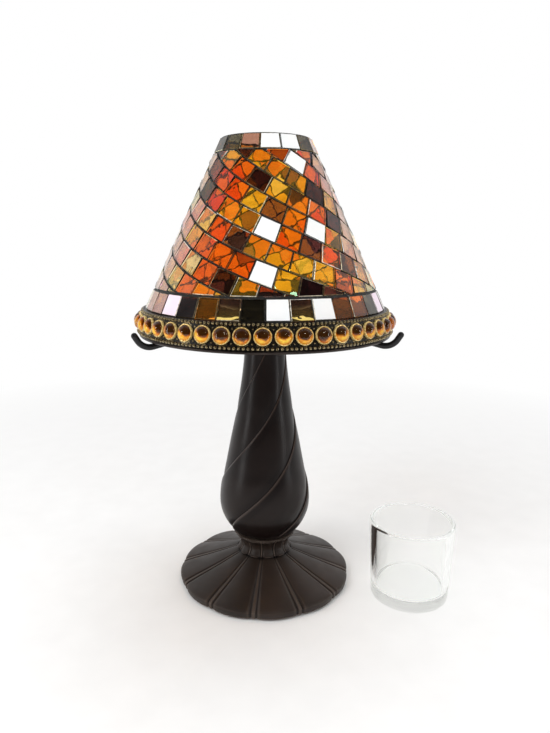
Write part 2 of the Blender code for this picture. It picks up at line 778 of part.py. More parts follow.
def bezel_frame():
    """Places a bezel on the strip's front panel: its Z axis points out of the panel."""
    half = TURN / CABOCHONS / 2
    middle = (TRIM_BASE + TRIM_TOP) / 2
    low = around(trim_radius(TRIM_BASE) * math.cos(half), 0, TRIM_BASE)
    high = around(trim_radius(TRIM_TOP) * math.cos(half), 0, TRIM_TOP)
    up = (high - low).normalized()
    across = Vector((1, 0, 0))
    out = across.cross(up)
    frame = Matrix((across, up, out)).transposed().to_4x4()
    frame.translation = around(trim_radius(middle) * math.cos(half), 0, middle)
    return frame


def trim_panel(shape, turn):
    """One panel of the strip, with its bezel and a run of each beaded edge."""
    half = TURN / CABOCHONS / 2
    levels = (TRIM_TOP, TRIM_TOP - BEAD_ROW, TRIM_BASE + BEAD_ROW, TRIM_BASE)
    spin = Matrix.Rotation(turn, 4, "Z")

    def side_points(radius, height):
        return [shape.verts.new(spin @ around(radius, side * half, height)) for side in (-1, 1)]

    edges = [side_points(trim_radius(level), level) for level in levels]
    crests = []
    for upper, lower in (levels[:2], levels[2:]):
        level = (upper + lower) / 2
        crests.append(side_points(trim_radius(level) + BEAD_HEIGHT, level))
    backs = [side_points(trim_radius(level) - STRIP_THICKNESS, level) for level in (TRIM_TOP, TRIM_BASE)]
    rows = [backs[0], edges[0], crests[0], edges[1]]
    rows_below = [edges[2], crests[1], edges[3], backs[1], backs[0]]
    for strip in (rows, rows_below):
        for upper, lower in zip(strip, strip[1:]):
            shape.faces.new((upper[0], lower[0], lower[1], upper[1]))
    frame = spin @ bezel_frame()
    circles = []
    for radius, height in (
        (BEZEL_RADIUS, 0),
        (BEZEL_RADIUS - BEZEL_WALL / 2, BEZEL_HEIGHT),
        (BEZEL_RADIUS - BEZEL_WALL, 0),
    ):
        circle = []
        for i in range(BEZEL_SIDES):
            angle = i * TURN / BEZEL_SIDES
            point = Vector((radius * math.cos(angle), radius * math.sin(angle), height))
            circle.append(shape.verts.new(frame @ point))
        circles.append(circle)
    for outer, inner in zip(circles, circles[1:]):
        for i in range(BEZEL_SIDES):
            j = (i + 1) % BEZEL_SIDES
            shape.faces.new((outer[i], outer[j], inner[j], inner[i]))
    shape.faces.new(circles[-1])
    ring = circles[0]
    # The panel round the bezel, in four pieces that meet at its corners
    corners = (edges[1][1], edges[1][0], edges[2][0], edges[2][1])
    corner_shares = (0.125, 0.375, 0.625, 0.875)
    stops = [round(share * BEZEL_SIDES) for share in corner_shares]
    for i, corner in enumerate(corners):
        start, stop = stops[i], stops[(i + 1) % len(stops)]
        if stop <= start:
            stop += BEZEL_SIDES
        arc = [ring[n % BEZEL_SIDES] for n in range(start, stop + 1)]
        shape.faces.new([*arc, corners[(i + 1) % len(corners)], corner])


def make_trim(bronze, amber):
    """The jewelled strip, and a cabochon in each of its bezels."""
    shape = bmesh.new()
    for i in range(CABOCHONS):
        trim_panel(shape, i * TURN / CABOCHONS)
    add("trim_strip", shape, bronze)
    radius = BEZEL_RADIUS - BEZEL_WALL - GAP
    outline = [
        (0, GAP),
        (radius, GAP),
        (radius, GAP + CABOCHON_GIRDLE),
        (radius * math.cos(DOME_STEP), GAP + CABOCHON_GIRDLE + CABOCHON_DOME * math.sin(DOME_STEP)),
        (0, GAP + CABOCHON_GIRDLE + CABOCHON_DOME),
    ]
    stone = None
    for i in range(CABOCHONS):
        name = f"cabochon_{i + 1:02d}"
        if stone is None:
            cabochon = add(name, turned(outline, BEZEL_SIDES, QUARTER), amber)
            stone = cabochon.data
        else:
            cabochon = add(name, stone)
        cabochon.matrix_world = Matrix.Rotation(i * TURN / CABOCHONS, 4, "Z") @ bezel_frame()


def make_cup(glass):
    """A thick-based tumbler."""
    corner = (CUP_BOTTOM_RADIUS - CUP_CORNER, CUP_CORNER)
    inner = (CUP_BOTTOM_RADIUS - CUP_WALL - CUP_CORNER, CUP_BASE + CUP_CORNER)
    rim = (CUP_TOP_RADIUS - CUP_WALL / 2, CUP_HEIGHT - CUP_LIP)
    outline = [
        (0, 0),
        *rounded(corner, CUP_CORNER, -QUARTER, 0, 2),
        (CUP_TOP_RADIUS, CUP_HEIGHT - CUP_LIP),
        (rim[0] + CUP_WALL / 4, CUP_HEIGHT),
        (rim[0] - CUP_WALL / 4, CUP_HEIGHT),
        (CUP_TOP_RADIUS - CUP_WALL, CUP_HEIGHT - CUP_LIP),
        *rounded(inner, CUP_CORNER, 0, -QUARTER, 2),
        (0, CUP_BASE),
    ]
    cup = add("candle_cup", turned(outline, ROUND_SEGMENTS * 2 // 3), glass)
    cup.location = CUP_PLACE


def main():
    clear_scene()
    bronze = finish("dark_bronze", (0.035, 0.022, 0.018), 0.42, metallic=0.55)
    iron = finish("black_iron", (0.010, 0.010, 0.011), 0.45, metallic=0.3)
    gold = finish("antique_gold", (0.32, 0.20, 0.07), 0.35, metallic=0.9)
    steel = finish("zinc_steel", (0.45, 0.45, 0.46), 0.35, metallic=1.0)
    clear = finish("clear_glass", (0.92, 0.95, 0.94), 0.03, transmission=1.0)
    amber = finish("amber_stone", (0.80, 0.36, 0.02), 0.08, transmission=0.6)
    grout = finish("black_grout", (0.012, 0.011, 0.010), 0.85)
    felt = finish("black_felt", (0.014, 0.013, 0.013), 0.95)
    glasses = [
        finish(name, colour, 0.06, transmission=0.5) for name, (colour, _) in TILE_GLASSES.items()
    ]
    make_felt(felt)
    make_foot(bronze)
    make_column(bronze)
    make_rod(steel)
    make_hub(iron)
    make_arms(iron)
    make_dish(iron)
    make_shade_glass(clear)
    make_mosaic(grout, glasses)
    make_channel(bronze)
    make_trim(gold, amber)
    make_cup(clear)


main()
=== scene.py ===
"""Looks of the candle lamp: the fine form of each piece and the finish of every surface, built on the
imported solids.

Metres, +Z up. The lamp's axis is Z and -Y is the front. Angles round the axis are counted from the
front towards +X.
"""

import math
import random

import bmesh
import bpy
import numpy as np
from mathutils import Matrix, Vector


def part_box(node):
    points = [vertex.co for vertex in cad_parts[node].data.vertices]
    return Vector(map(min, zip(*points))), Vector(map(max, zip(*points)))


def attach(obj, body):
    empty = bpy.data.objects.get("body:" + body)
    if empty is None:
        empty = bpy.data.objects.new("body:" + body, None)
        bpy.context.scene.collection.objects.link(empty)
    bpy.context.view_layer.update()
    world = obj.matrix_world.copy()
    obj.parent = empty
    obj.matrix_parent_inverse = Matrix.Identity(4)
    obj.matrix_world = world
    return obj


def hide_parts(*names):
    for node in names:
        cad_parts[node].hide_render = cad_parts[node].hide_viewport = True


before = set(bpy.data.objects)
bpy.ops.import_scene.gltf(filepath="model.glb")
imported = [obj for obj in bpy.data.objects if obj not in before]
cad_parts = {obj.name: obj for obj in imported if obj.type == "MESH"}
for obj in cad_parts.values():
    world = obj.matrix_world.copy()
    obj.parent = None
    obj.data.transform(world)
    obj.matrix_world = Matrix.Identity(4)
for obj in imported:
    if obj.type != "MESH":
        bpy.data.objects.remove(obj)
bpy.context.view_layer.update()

QUARTER = math.pi / 2
TURN = 2 * math.pi
GAP = 0.0003
MERGE_DISTANCE = 0.0000001
SHARP_ANGLE = math.radians(35)
LEAST_CORNER = math.radians(3)

# Places that the frame gives
FOOT_LOW, FOOT_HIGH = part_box("foot")
COLUMN_LOW, COLUMN_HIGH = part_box("column")
HUB_LOW, HUB_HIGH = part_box("hub")
DISH_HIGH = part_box("cup_dish")[1]
GLASS_LOW, GLASS_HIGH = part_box("shade_glass")
MOSAIC_LOW, MOSAIC_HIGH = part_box("mosaic")
CHANNEL_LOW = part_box("rim_channel")[0]
STRIP_LOW, STRIP_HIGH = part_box("trim_strip")
CUP_LOW, CUP_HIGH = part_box("candle_cup")

# Foot and collar
FOOT_RADIUS = 0.0700
DISC_HEIGHT = 0.0250
DISC_INNER_RADIUS = 0.0220
GROOVE_DEPTH = 0.0018
COLLAR_WAIST_RADIUS = 0.0200
COLLAR_LIP_RADIUS = 0.0252
LOBES = 12
LOBE_TURN = math.radians(-5.9)
BAND_OUTER = 0.0037
BAND_INNER = 0.0017
OUTLINE_STEPS = 7
NUT_WELL_RADIUS = 0.0100
NUT_WELL_DEPTH = 0.0090
BORE_RADIUS = 0.0033
COLLAR_SHARES = (
    (0.88, 1.00, 0.5), (1.00, 0.95, 0.7), (0.81, 0.87, 0.8), (0.25, 0.66, 0.8),
    (0.00, 0.38, 0.8), (0.25, 0.16, 0.7), (0.54, 0.06, 0.5),
)
DISC_SHARES = (
    (0.00, 1.00, 0.30), (0.17, 0.87, 0.45), (0.46, 0.65, 0.60), (0.75, 0.45, 0.80),
    (0.93, 0.32, 1.00), (0.99, 0.24, 1.00), (1.00, 0.15, 1.00), (0.985, 0.00, 1.00),
)
# From the middle of a groove outwards, of half the band: place, depth
GROOVE_SHARES = (
    (0.0, 0.50), (0.28, 0.52), (0.50, 0.92), (0.66, 1.0), (0.88, 0.62),
    (1.15, 0.42), (1.5, 0.34),
)
PILLOW_STEPS = 7

# Column
COLUMN_RADIUS = 0.0366
LEAVES = 4
LEAF_TURN = math.radians(19)
LEAF_TWIST = math.radians(283)
CREASE_SHARE = 0.040
COLUMN_STEPS = 8
LEAF_STEPS = 3
# The rounded edge of a leaf, then the leaf across: place, depth
LEAF_EDGE_SHARES = (
    (-0.015, 1.0), (-0.013, 0.72), (-0.007, 0.44), (0.003, 0.22), (0.016, 0.08),
    (0.034, 0.01),
)
LEAF_SHARES = (
    (0.055, 0.0), (0.12, 0.0), (0.28, 0.01), (0.45, 0.06), (0.62, 0.17),
    (0.78, 0.38), (0.92, 0.74), (0.985, 1.0),
)
COLUMN_SHARES = (
    (0.000, 0.580), (0.006, 0.640), (0.019, 0.722), (0.036, 0.796), (0.061, 0.872),
    (0.093, 0.940), (0.124, 0.982), (0.163, 1.000), (0.218, 0.985), (0.280, 0.938),
    (0.341, 0.872), (0.403, 0.810), (0.462, 0.755), (0.522, 0.697), (0.582, 0.640),
    (0.641, 0.594), (0.699, 0.549), (0.757, 0.508), (0.807, 0.478), (0.857, 0.455),
    (0.905, 0.440), (0.953, 0.430), (1.000, 0.424),
)

# Hub, dish and arms
HUB_RADIUS = 0.0170
HUB_ROUND = 0.0015
DISH_RADIUS = 0.0360
DISH_WALL = 0.0012
DISH_CORNER = 0.0020
DISH_WELL_RADIUS = 0.0075
DISH_WELL_DEPTH = 0.0040
ARMS = 3
ARM_TURN = math.radians(64.1)
ARM_RADIUS = 0.00225
ARM_ROOT_RADIUS = 0.0090
ARM_ROOT_HEIGHT = 0.0074
ARM_SLOPE = math.radians(10)
ARM_BEND_RADIUS = 0.0112
ARM_TIP_SLOPE = math.radians(58)
ARM_TIP_LENGTH = 0.0063
ARM_SEAT_INSET = 0.0008
ARM_BEND_STEPS = 18
ARM_TIP_STEPS = 8
ARM_SIDES = 24
ARM_TIP_SHARE = 0.97
HUB_SEGMENTS = 72
HUB_CORNER_STEPS = 5
DISH_SEGMENTS = 120
DISH_CORNER_STEPS = 8

# Shade
CONE_BOTTOM_RADIUS = 0.0911
CONE_TOP_RADIUS = 0.0336
BOTTOM_ROW_HEIGHT = 0.0145
TOP_ROW_HEIGHT = 0.0110
MOSAIC_THICKNESS = 0.0026
GLASS_WALL = 0.0025
COURSES = 12
COURSE_TURN = math.radians(-3.2)
COURSE_SPACING = 0.0146
TILE_TOP_PITCH = 0.0142
TILE_BOTTOM_PITCH = 0.0166
JOINT_WIDTH = 0.0008
LEVEL_JOINT_WIDTH = 0.0018
JOINT_LEAN_SHARE = 0.85
COURSE_OFFSET_SHARES = (0.56, 0.61, 0.66, 0.71, 0.76, 0.89, 0.93, 0.04, 0.08, 0.13, 0.25, 0.31)
BOTTOM_ROW_TILES = 35
BOTTOM_ROW_TURN = math.radians(0.9)
TOP_ROW_TILES = 16
TOP_ROW_TURN = math.radians(-5.6)
SHADE_SEGMENTS = 180
TILE_THICKNESS = 0.0020
TILE_BEVEL = 0.00035
# How often a side gets a painted glint, the left side most often: lower, right, upper, left
PAINTED_GLINT_EDGE_SHARES = (0.10, 0.12, 0.10, 0.38)
TILE_CLEARANCE = 0.00006
TILE_SPIN = math.radians(0.8)
TILE_TILT = math.radians(0.9)
TILE_SHIFT = 0.00010
GROUT_DEPTH = 0.0010
GROUT_EDGE_DEPTH = 0.0006
GROUT_STEP = math.radians(1.6)
TILE_SEED = 5

# Rim
CABOCHONS = 45
TRIM_LEAN = math.radians(13)
STRIP_THICKNESS = 0.0010
LIP_HEIGHT = 0.0024
LIP_SETBACK = 0.0008
CHANNEL_WALL = 0.0012
CHANNEL_SIDE = 0.00085
GLASS_TUCK = 0.0105
CHANNEL_FLANGE = 0.0042
BEZEL_SPACING = 0.00172
BEZEL_HEIGHT = 0.0019
BEZEL_WALL = 0.0006
BEAD_ROW = 0.0024
BEAD_RADIUS = 0.00112
BEADS = 198
CABOCHON_GIRDLE = 0.0012
CABOCHON_DOME = 0.0035
FOIL_TOP_SHARE = 0.93
CABOCHON_CHAMFER = 0.0002
CABOCHON_FOOT_SHARE = 0.96
DOME_STEPS = 12
STONE_SIDES = 40
BEZEL_ROUND_SHARE = 0.65
BEZEL_STEPS = 6
LIP_STEPS = 12
BEAD_RINGS = 5
BEAD_SIDES = 10
BEAD_TIP_SHARE = 0.93
BEAD_SINK_SHARE = 0.05
WIRE_RADIUS = 0.00028
WIRE_SIDES = 6
WIRE_LIFT_SHARE = 0.6
SCROLL_SPREAD = math.radians(38)
SCROLL_CLEARANCE = 0.0011
SCROLL_WAVE = 0.00018
SCROLL_STEPS = 12
GRAIN_RADIUS = 0.00062
GRAIN_INSET = 0.0008

# Cup
CUP_WALL = 0.0034
CUP_BASE = 0.0085
CUP_CORNER = 0.0030
CUP_TOP_RADIUS = 0.0331
CUP_BOTTOM_RADIUS = 0.0304
CUP_SEGMENTS = 128
CUP_CORNER_STEPS = 10
CUP_LIP_STEPS = 12

# Kinds of tiles. In view of the front they have a place: the course, and angles in degrees
TILES = ("amber", "orange", "brown", "dark", "silver", "pink", "rose", "cream", "olive", "gold")
TILE_PLACES = {
    "silver": {0: (29,), 6: (0,), 8: (2,), 9: (33,)},
    "cream": {3: (-50,), 4: (-51,), 5: (-42,), 7: (-68, -41, 65), 8: (74,)},
    "rose": {
        0: (60,), 1: (61,), 2: (61,), 3: (-71, -59), 4: (-73, -62), 5: (-65, -54),
        6: (-60,), 7: (-55,), 8: (-67,), 9: (-67, 58, 69), 10: (64,), 11: (69,),
    },
    "dark": {5: (-19,), 6: (21, 34), 10: (-4, 51), 11: (-20, 41)},
    "brown": {5: (3,), 7: (-16,), 8: (27, 50), 9: (-51, 7), 10: (-51,)},
    "olive": {8: (-52,)},
    "amber": {
        5: (-9,), 6: (-47, 11), 7: (-4, 8, 20, 31, 54), 8: (-24, -11, 62),
        9: (-7, 45), 10: (-35, 11), 11: (-4, 12, 27, 55),
    },
    "orange": {
        0: (12, 46), 1: (45,), 4: (-40, -28), 5: (-30,), 6: (-35, -23, -11),
        7: (-28, 43), 8: (-38, 15, 39), 9: (-36, -21, 20), 10: (-19, 25, 38),
    },
}
BOTTOM_PLACES = {
    "rose": (-66, -56),
    "pink": (-45, 68),
    "dark": (-35,),
    "orange": (-25, 37, 47),
    "gold": (-15, 16),
    "olive": (-4, 57),
    "silver": (6, 27),
}
TOP_PLACES = {"olive": (-62, -39, 51), "gold": (-17,), "silver": (6, 28), "rose": (73,)}
PLACE_REACH = math.radians(7)
# How often each kind comes elsewhere
FIELD_WEIGHTS = {
    "amber": 50, "orange": 32, "brown": 5, "dark": 2, "silver": 3, "rose": 2, "cream": 5, "olive": 1,
}
ROW_WEIGHTS = {
    "amber": 14, "orange": 14, "brown": 14, "dark": 6, "silver": 14, "rose": 8, "cream": 8, "olive": 8,
}

# A film over the glass: thickness in nanometres, IOR
PLAIN = (0.0, 1.33)
IRIS = (415.0, 1.62)
ROSE_IRIS = (440.0, 1.9)
CREAM_IRIS = (440.0, 1.8)
SILVER_IRIS = (420.0, 1.8)
# Tints of each kind of clear tile, and its film
TINTS = {
    "amber": (IRIS, (1.0, 0.56, 0.05), (1.0, 0.62, 0.07), (1.0, 0.69, 0.10)),
    "orange": (IRIS, (0.95, 0.18, 0.014), (1.0, 0.27, 0.02), (1.0, 0.38, 0.035)),
    "brown": (PLAIN, (0.36, 0.16, 0.12), (0.29, 0.12, 0.11), (0.38, 0.17, 0.10)),
    "dark": (PLAIN, (0.09, 0.020, 0.018), (0.06, 0.014, 0.035), (0.10, 0.030, 0.012)),
    "rose": (ROSE_IRIS, (0.88, 0.54, 0.46), (0.92, 0.62, 0.46), (0.82, 0.50, 0.54)),
    "cream": (CREAM_IRIS, (1.0, 0.76, 0.40), (1.0, 0.82, 0.52), (0.98, 0.70, 0.33)),
    "olive": (PLAIN, (0.12, 0.095, 0.045), (0.15, 0.12, 0.06), (0.09, 0.075, 0.04)),
    "gold": (PLAIN, (0.60, 0.29, 0.18), (0.50, 0.24, 0.16)),
}
# A paler tint that takes over low in the bottom row: painted light, standing in for light that shows through
# under the rim
LOW_PAINTED_LIGHT_TINTS = {"gold": (1.0, 0.75, 0.22)}
# Pale colours of the silvered tiles: a painted reflection of the white surroundings
SILVERED_PAINTED_REFLECTION = {
    "silver": ((0.93, 0.96, 0.97), (0.97, 0.96, 0.95)),
    "pink": ((0.92, 0.62, 0.82), (0.94, 0.76, 0.86)),
}
DULL_EDGE = ((0.0, (0.022, 0.023, 0.020)), (0.6, (0.050, 0.046, 0.032)), (1.0, (0.26, 0.19, 0.08)))
# Pale colours of a painted glint on a tile's bevel
PAINTED_GLINT_EDGE = ((0.0, (0.95, 0.86, 0.42)), (0.5, (0.96, 0.96, 0.92)), (1.0, (0.92, 0.74, 0.38)))
# Two clouds of the bronze, and the colour of its convex edges: wear, made lighter still as a painted
# highlight
FOOT_SHADES = ((0.016, 0.0098, 0.0070), (0.026, 0.0160, 0.0116), (0.092, 0.067, 0.052))
COLUMN_SHADES = ((0.0045, 0.0022, 0.0019), (0.0074, 0.0038, 0.0032), (0.14, 0.105, 0.088))
# The foil's colours are painted light and shade: a brown spot of painted shade off the middle gives way to
# gold and then to a bright crescent of painted light, where the stone would focus light
FOIL_SHADE_SPOT_SHARE = (0.06, 0.42, 0)
FOIL_REACH_SHARE = 1.25
FOIL_PAINTED_LIGHT_STOPS = (
    (0.46, (0.030, 0.010, 0.004)),
    (0.58, (0.18, 0.065, 0.018)),
    (0.68, (0.90, 0.55, 0.18)),
    (0.77, (1.0, 1.0, 0.80)),
)
STONE_STOPS = ((0.62, (1.0, 0.84, 0.22)), (0.94, (0.62, 0.21, 0.02)))
STONE_CLOUD = 0.0004
GROUT_STOPS = ((0.35, (0.005, 0.0055, 0.006)), (0.7, (0.028, 0.030, 0.029)))
GROUT_GLINT = (0.20, 0.21, 0.19)
CUP_TINT = (0.50, 0.62, 0.54, 1)
CUP_DENSITY = 3.0
FLOOR_STOPS = ((0.3, (0.895, 0.89, 0.885)), (0.7, (0.92, 0.915, 0.91)))
# Light that has met as many faces in the glass is let out
CAUGHT_BOUNCES = 2.5
# Depth of the relief on each surface
RELIEF = {
    "bronze_grain": 0.00002, "bronze_waves": 0.00010, "felt": 0.0002, "tile": 0.0009,
    "silver": 0.0004, "edge": 0.00004, "grout": 0.00018, "cone": 0.0003, "foil": 0.0002,
    "stone": 0.0002, "cup": 0.0004,
}
# Grained finishes: shader values, grain, colour stops, roughness over the grain, the relief's own grain if
# it has one, relief depth and strength
GRAINED = {
    "black_iron": (
        {"Specular IOR Level": 0.35},
        (900, 3),
        ((0.3, (0.004, 0.004, 0.0045)), (0.7, (0.009, 0.009, 0.010))),
        (0.30, 0.44, 0.3, 0.7),
        None,
        (0.00004, 0.6),
    ),
    "zinc_steel": (
        {"Metallic": 1.0},
        (700, 3),
        ((0.3, (0.38, 0.38, 0.40)), (0.7, (0.52, 0.52, 0.53))),
        (0.28, 0.45),
        (1500, 2),
        (0.00002, 0.5),
    ),
    # The painted back of the silvered tiles
    "dark_silvering": (
        {"Roughness": 0.35},
        (60, 3),
        ((0.3, (0.030, 0.026, 0.024)), (0.7, (0.060, 0.050, 0.044))),
        None,
        (700, 2),
        (0.00005, 0.5),
    ),
    # The strip's ground: blackened brass with a trace of gold in its grain
    "dark_strip": (
        {"Metallic": 0.6},
        (900, 4, 0.6),
        ((0.45, (0.004, 0.003, 0.0025)), (0.75, (0.034, 0.025, 0.014))),
        (0.30, 0.50, 0.3, 0.7),
        None,
        (0.00010, 0.7),
    ),
    # Beads, wires and grains: blackened brass, rubbed back to pale gold in random patches
    "rubbed_brass": (
        {"Metallic": 0.9},
        (1300, 3, 0.6),
        ((0.36, (0.040, 0.030, 0.018)), (0.64, (0.50, 0.40, 0.22))),
        (0.16, 0.34, 0.3, 0.7),
        None,
        (0.00004, 0.5),
    ),
    "rim_bronze": (
        {"Metallic": 0.75},
        (160, 4),
        ((0.3, (0.022, 0.016, 0.014)), (0.7, (0.055, 0.042, 0.036))),
        (0.30, 0.46, 0.3, 0.7),
        (1400, 2),
        (0.00003, 0.5),
    ),
    "bezel_gold": (
        {"Metallic": 0.45},
        (900, 3),
        ((0.25, (0.58, 0.37, 0.09)), (0.6, (0.92, 0.71, 0.30))),
        (0.18, 0.34, 0.3, 0.7),
        (1600, 2),
        (0.00003, 0.5),
    ),
}

# Studio
CAMERA_PLACE = (0.00775, -0.4761, 0.2804)
CAMERA_TILT = math.radians(90 - 12.02)
CAMERA_ROLL = math.radians(0.42)
CAMERA_LENS = 30.25
CAMERA_CLIP = 0.01
SENSOR_HEIGHT = 36
FLOOR_RADIUS = 3.0
FLOOR_THICKNESS = 0.01
FLOOR_SEGMENTS = 96
FADE_START = 0.26
FADE_STOP = 0.80
# What reflections see of the room: bright behind the object, dark in front of it
ROOM_SPREAD = {"From Min": -0.45, "From Max": 0.60, "To Min": 0.05, "To Max": 1.0}
ROOM_LIGHT = 0.55
# Lamps: place, size, watts, seen in reflections
LAMPS = {
    "key_light": ((-0.75, -0.75, 1.05), (0.7, 0.7), 7.2, False),
    "top_light": ((0.15, 0.25, 1.25), (0.8, 0.8), 5.0, False),
    "left_strip": ((-0.95, -0.42, 0.25), (0.16, 0.8), 2.5, True),
    "right_strip": ((0.95, -0.35, 0.25), (0.12, 0.8), 2.0, True),
    "spark_light": ((0.24, -0.52, 0.62), (0.12, 0.12), 0.50, True),
}
LAMP_TARGET = Vector((0, 0, 0.16))

# Sizes that follow
CONE_BASE = MOSAIC_LOW.z
CONE_TOP = MOSAIC_HIGH.z
FIELD_BASE = CONE_BASE + BOTTOM_ROW_HEIGHT
FIELD_TOP = CONE_TOP - TOP_ROW_HEIGHT
FIELD_HEIGHT = FIELD_TOP - FIELD_BASE
SLOPE = (CONE_BOTTOM_RADIUS - CONE_TOP_RADIUS) / (CONE_TOP - CONE_BASE)
CONE_ANGLE = math.atan(SLOPE)
GLASS_DEPTH = MOSAIC_THICKNESS + GAP
COURSE_DROP = COURSES * COURSE_SPACING / TURN
GLASS_FOOT_RADIUS = CONE_BOTTOM_RADIUS + SLOPE * (GLASS_TUCK + GAP) - GLASS_DEPTH / math.cos(CONE_ANGLE)
SEAT_RADIUS = GLASS_FOOT_RADIUS + CHANNEL_SIDE + STRIP_THICKNESS + 2 * GAP
BEZEL_RADIUS = (TURN * SEAT_RADIUS / CABOCHONS - BEZEL_SPACING) / 2
TRIM_BASE = STRIP_LOW.z
TRIM_TOP = STRIP_HIGH.z
TRIM_TOP_RADIUS = SEAT_RADIUS - GLASS_TUCK * math.tan(TRIM_LEAN)
LIP_RADIUS = TRIM_TOP_RADIUS + (TRIM_TOP - TRIM_BASE) * math.tan(TRIM_LEAN) - LIP_SETBACK
STONE_RADIUS = BEZEL_RADIUS - BEZEL_WALL - GAP / 2


def around(radius, angle, height):
    """The point at an angle from the front, towards +X."""
    return Vector((radius * math.sin(angle), -radius * math.cos(angle), height))


def smooth(knots, steps):
    """Points of a smooth curve through the knots, with as many steps between each two."""
    knots = [np.array(knot, float) for knot in knots]
    ends = [2 * knots[0] - knots[1], *knots, 2 * knots[-1] - knots[-2]]
    curve = []
    for before, start, end, after in zip(ends, ends[1:], ends[2:], ends[3:]):
        for i in range(steps):
            t = i / steps
            line = 2 * start + (end - before) * t
            square = (2 * before - 5 * start + 4 * end - after) * t**2
            cube = (3 * start - before - 3 * end + after) * t**3
            curve.append((line + square + cube) / 2)
    curve.append(knots[-1])
    return curve


def even_angles(count):
    """Angles that share out a whole turn."""
    return [i * TURN / count for i in range(count)]


def circle(centre, first, second, radius, count):
    """Points of a circle, from its first direction towards its second."""
    spots = []
    for angle in even_angles(count):
        spots.append(centre + (first * math.cos(angle) + second * math.sin(angle)) * radius)
    return spots


def arc(centre, radius, start, stop, steps):
    """Points of an arc in the plane of an outline."""
    angles = [start + (stop - start) * i / steps for i in range(steps + 1)]
    return [(centre[0] + radius * math.cos(a), centre[1] + radius * math.sin(a)) for a in angles]


class Shape:
    """Points and faces of one piece, gathered from its parts."""

    def __init__(self):
        self.points = []
        self.faces = []
        self.kinds = []

    def add(self, face, kind):
        self.faces.append(face)
        self.kinds.append(kind)

    def skin(self, rings, looped=False, kinds=(0, 0, 0)):
        """Joins rings of as many points each, and closes the ends or the loop.

        Kinds are the material of the first end, of the last end and of each band between two rings. The
        last of them holds for all bands that follow.
        """
        start = len(self.points)
        count = len(rings[0])
        loops = [range(start + i * count, start + (i + 1) * count) for i in range(len(rings))]
        self.points.extend(point for ring in rings for point in ring)
        if looped:
            loops.append(loops[0])
        else:
            self.add(tuple(loops[0]), kinds[0])
            self.add(tuple(loops[-1]), kinds[1])
        bands = kinds[2:]
        for number, (lower, upper) in enumerate(zip(loops, loops[1:])):
            kind = bands[min(number, len(bands) - 1)]
            for i in range(count):
                j = (i + 1) % count
                self.add((lower[i], lower[j], upper[j], upper[i]), kind)

    def turned(self, outline, segments, looped=False):
        """Spins an outline of (radius, height) points once round the axis."""
        angles = even_angles(segments)
        rings = [[around(radius, angle, height) for angle in angles] for radius, height in outline]
        self.skin(rings, looped)


def added(name, data):
    """A new object in the scene."""
    made = bpy.data.objects.new(name, data)
    bpy.context.collection.objects.link(made)
    return made


def link(name, mesh, body, nodes, place=None):
    """A piece of the visual model, on its body and in place of its nodes."""
    piece = added(name, mesh)
    if place:
        piece.matrix_world = place
    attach(piece, body)
    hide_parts(*nodes)


def mesh_of(name, shape, materials, flat=False):
    mesh = bpy.data.meshes.new(name)
    mesh.from_pydata(shape.points, [], shape.faces)
    for material in materials:
        mesh.materials.append(material)
    mesh.polygons.foreach_set("material_index", shape.kinds)
    work = bmesh.new()
    work.from_mesh(mesh)
    bmesh.ops.dissolve_degenerate(work, dist=MERGE_DISTANCE, edges=work.edges)
    bmesh.ops.recalc_face_normals(work, faces=work.faces)
    work.to_mesh(mesh)
    work.free()
    if flat:
        mesh.shade_flat()
    else:
        mesh.shade_smooth()
        mesh.set_sharp_from_angle(angle=SHARP_ANGLE)
    return mesh


def build(name, shape, materials, body, nodes, flat=False):
    link(name, mesh_of(name, shape, materials, flat), body, nodes)


def build_turned(name, outline, segments, material, body, node):
    """A piece spun round the axis from a closed outline."""
    shape = Shape()
    shape.turned(outline, segments, looped=True)
    build(name, shape, [material], body, [node])


class Nodes:
    """The node tree of a material or of the world."""

    def __init__(self, tree):
        self.tree = tree

    def node(self, kind, inputs=None, **settings):
        made = self.tree.nodes.new(kind)
        for name, value in settings.items():
            setattr(made, name, value)
        for name, value in (inputs or {}).items():
            if isinstance(value, bpy.types.NodeSocket):
                self.tree.links.new(value, made.inputs[name])
            else:
                made.inputs[name].default_value = value
        return made


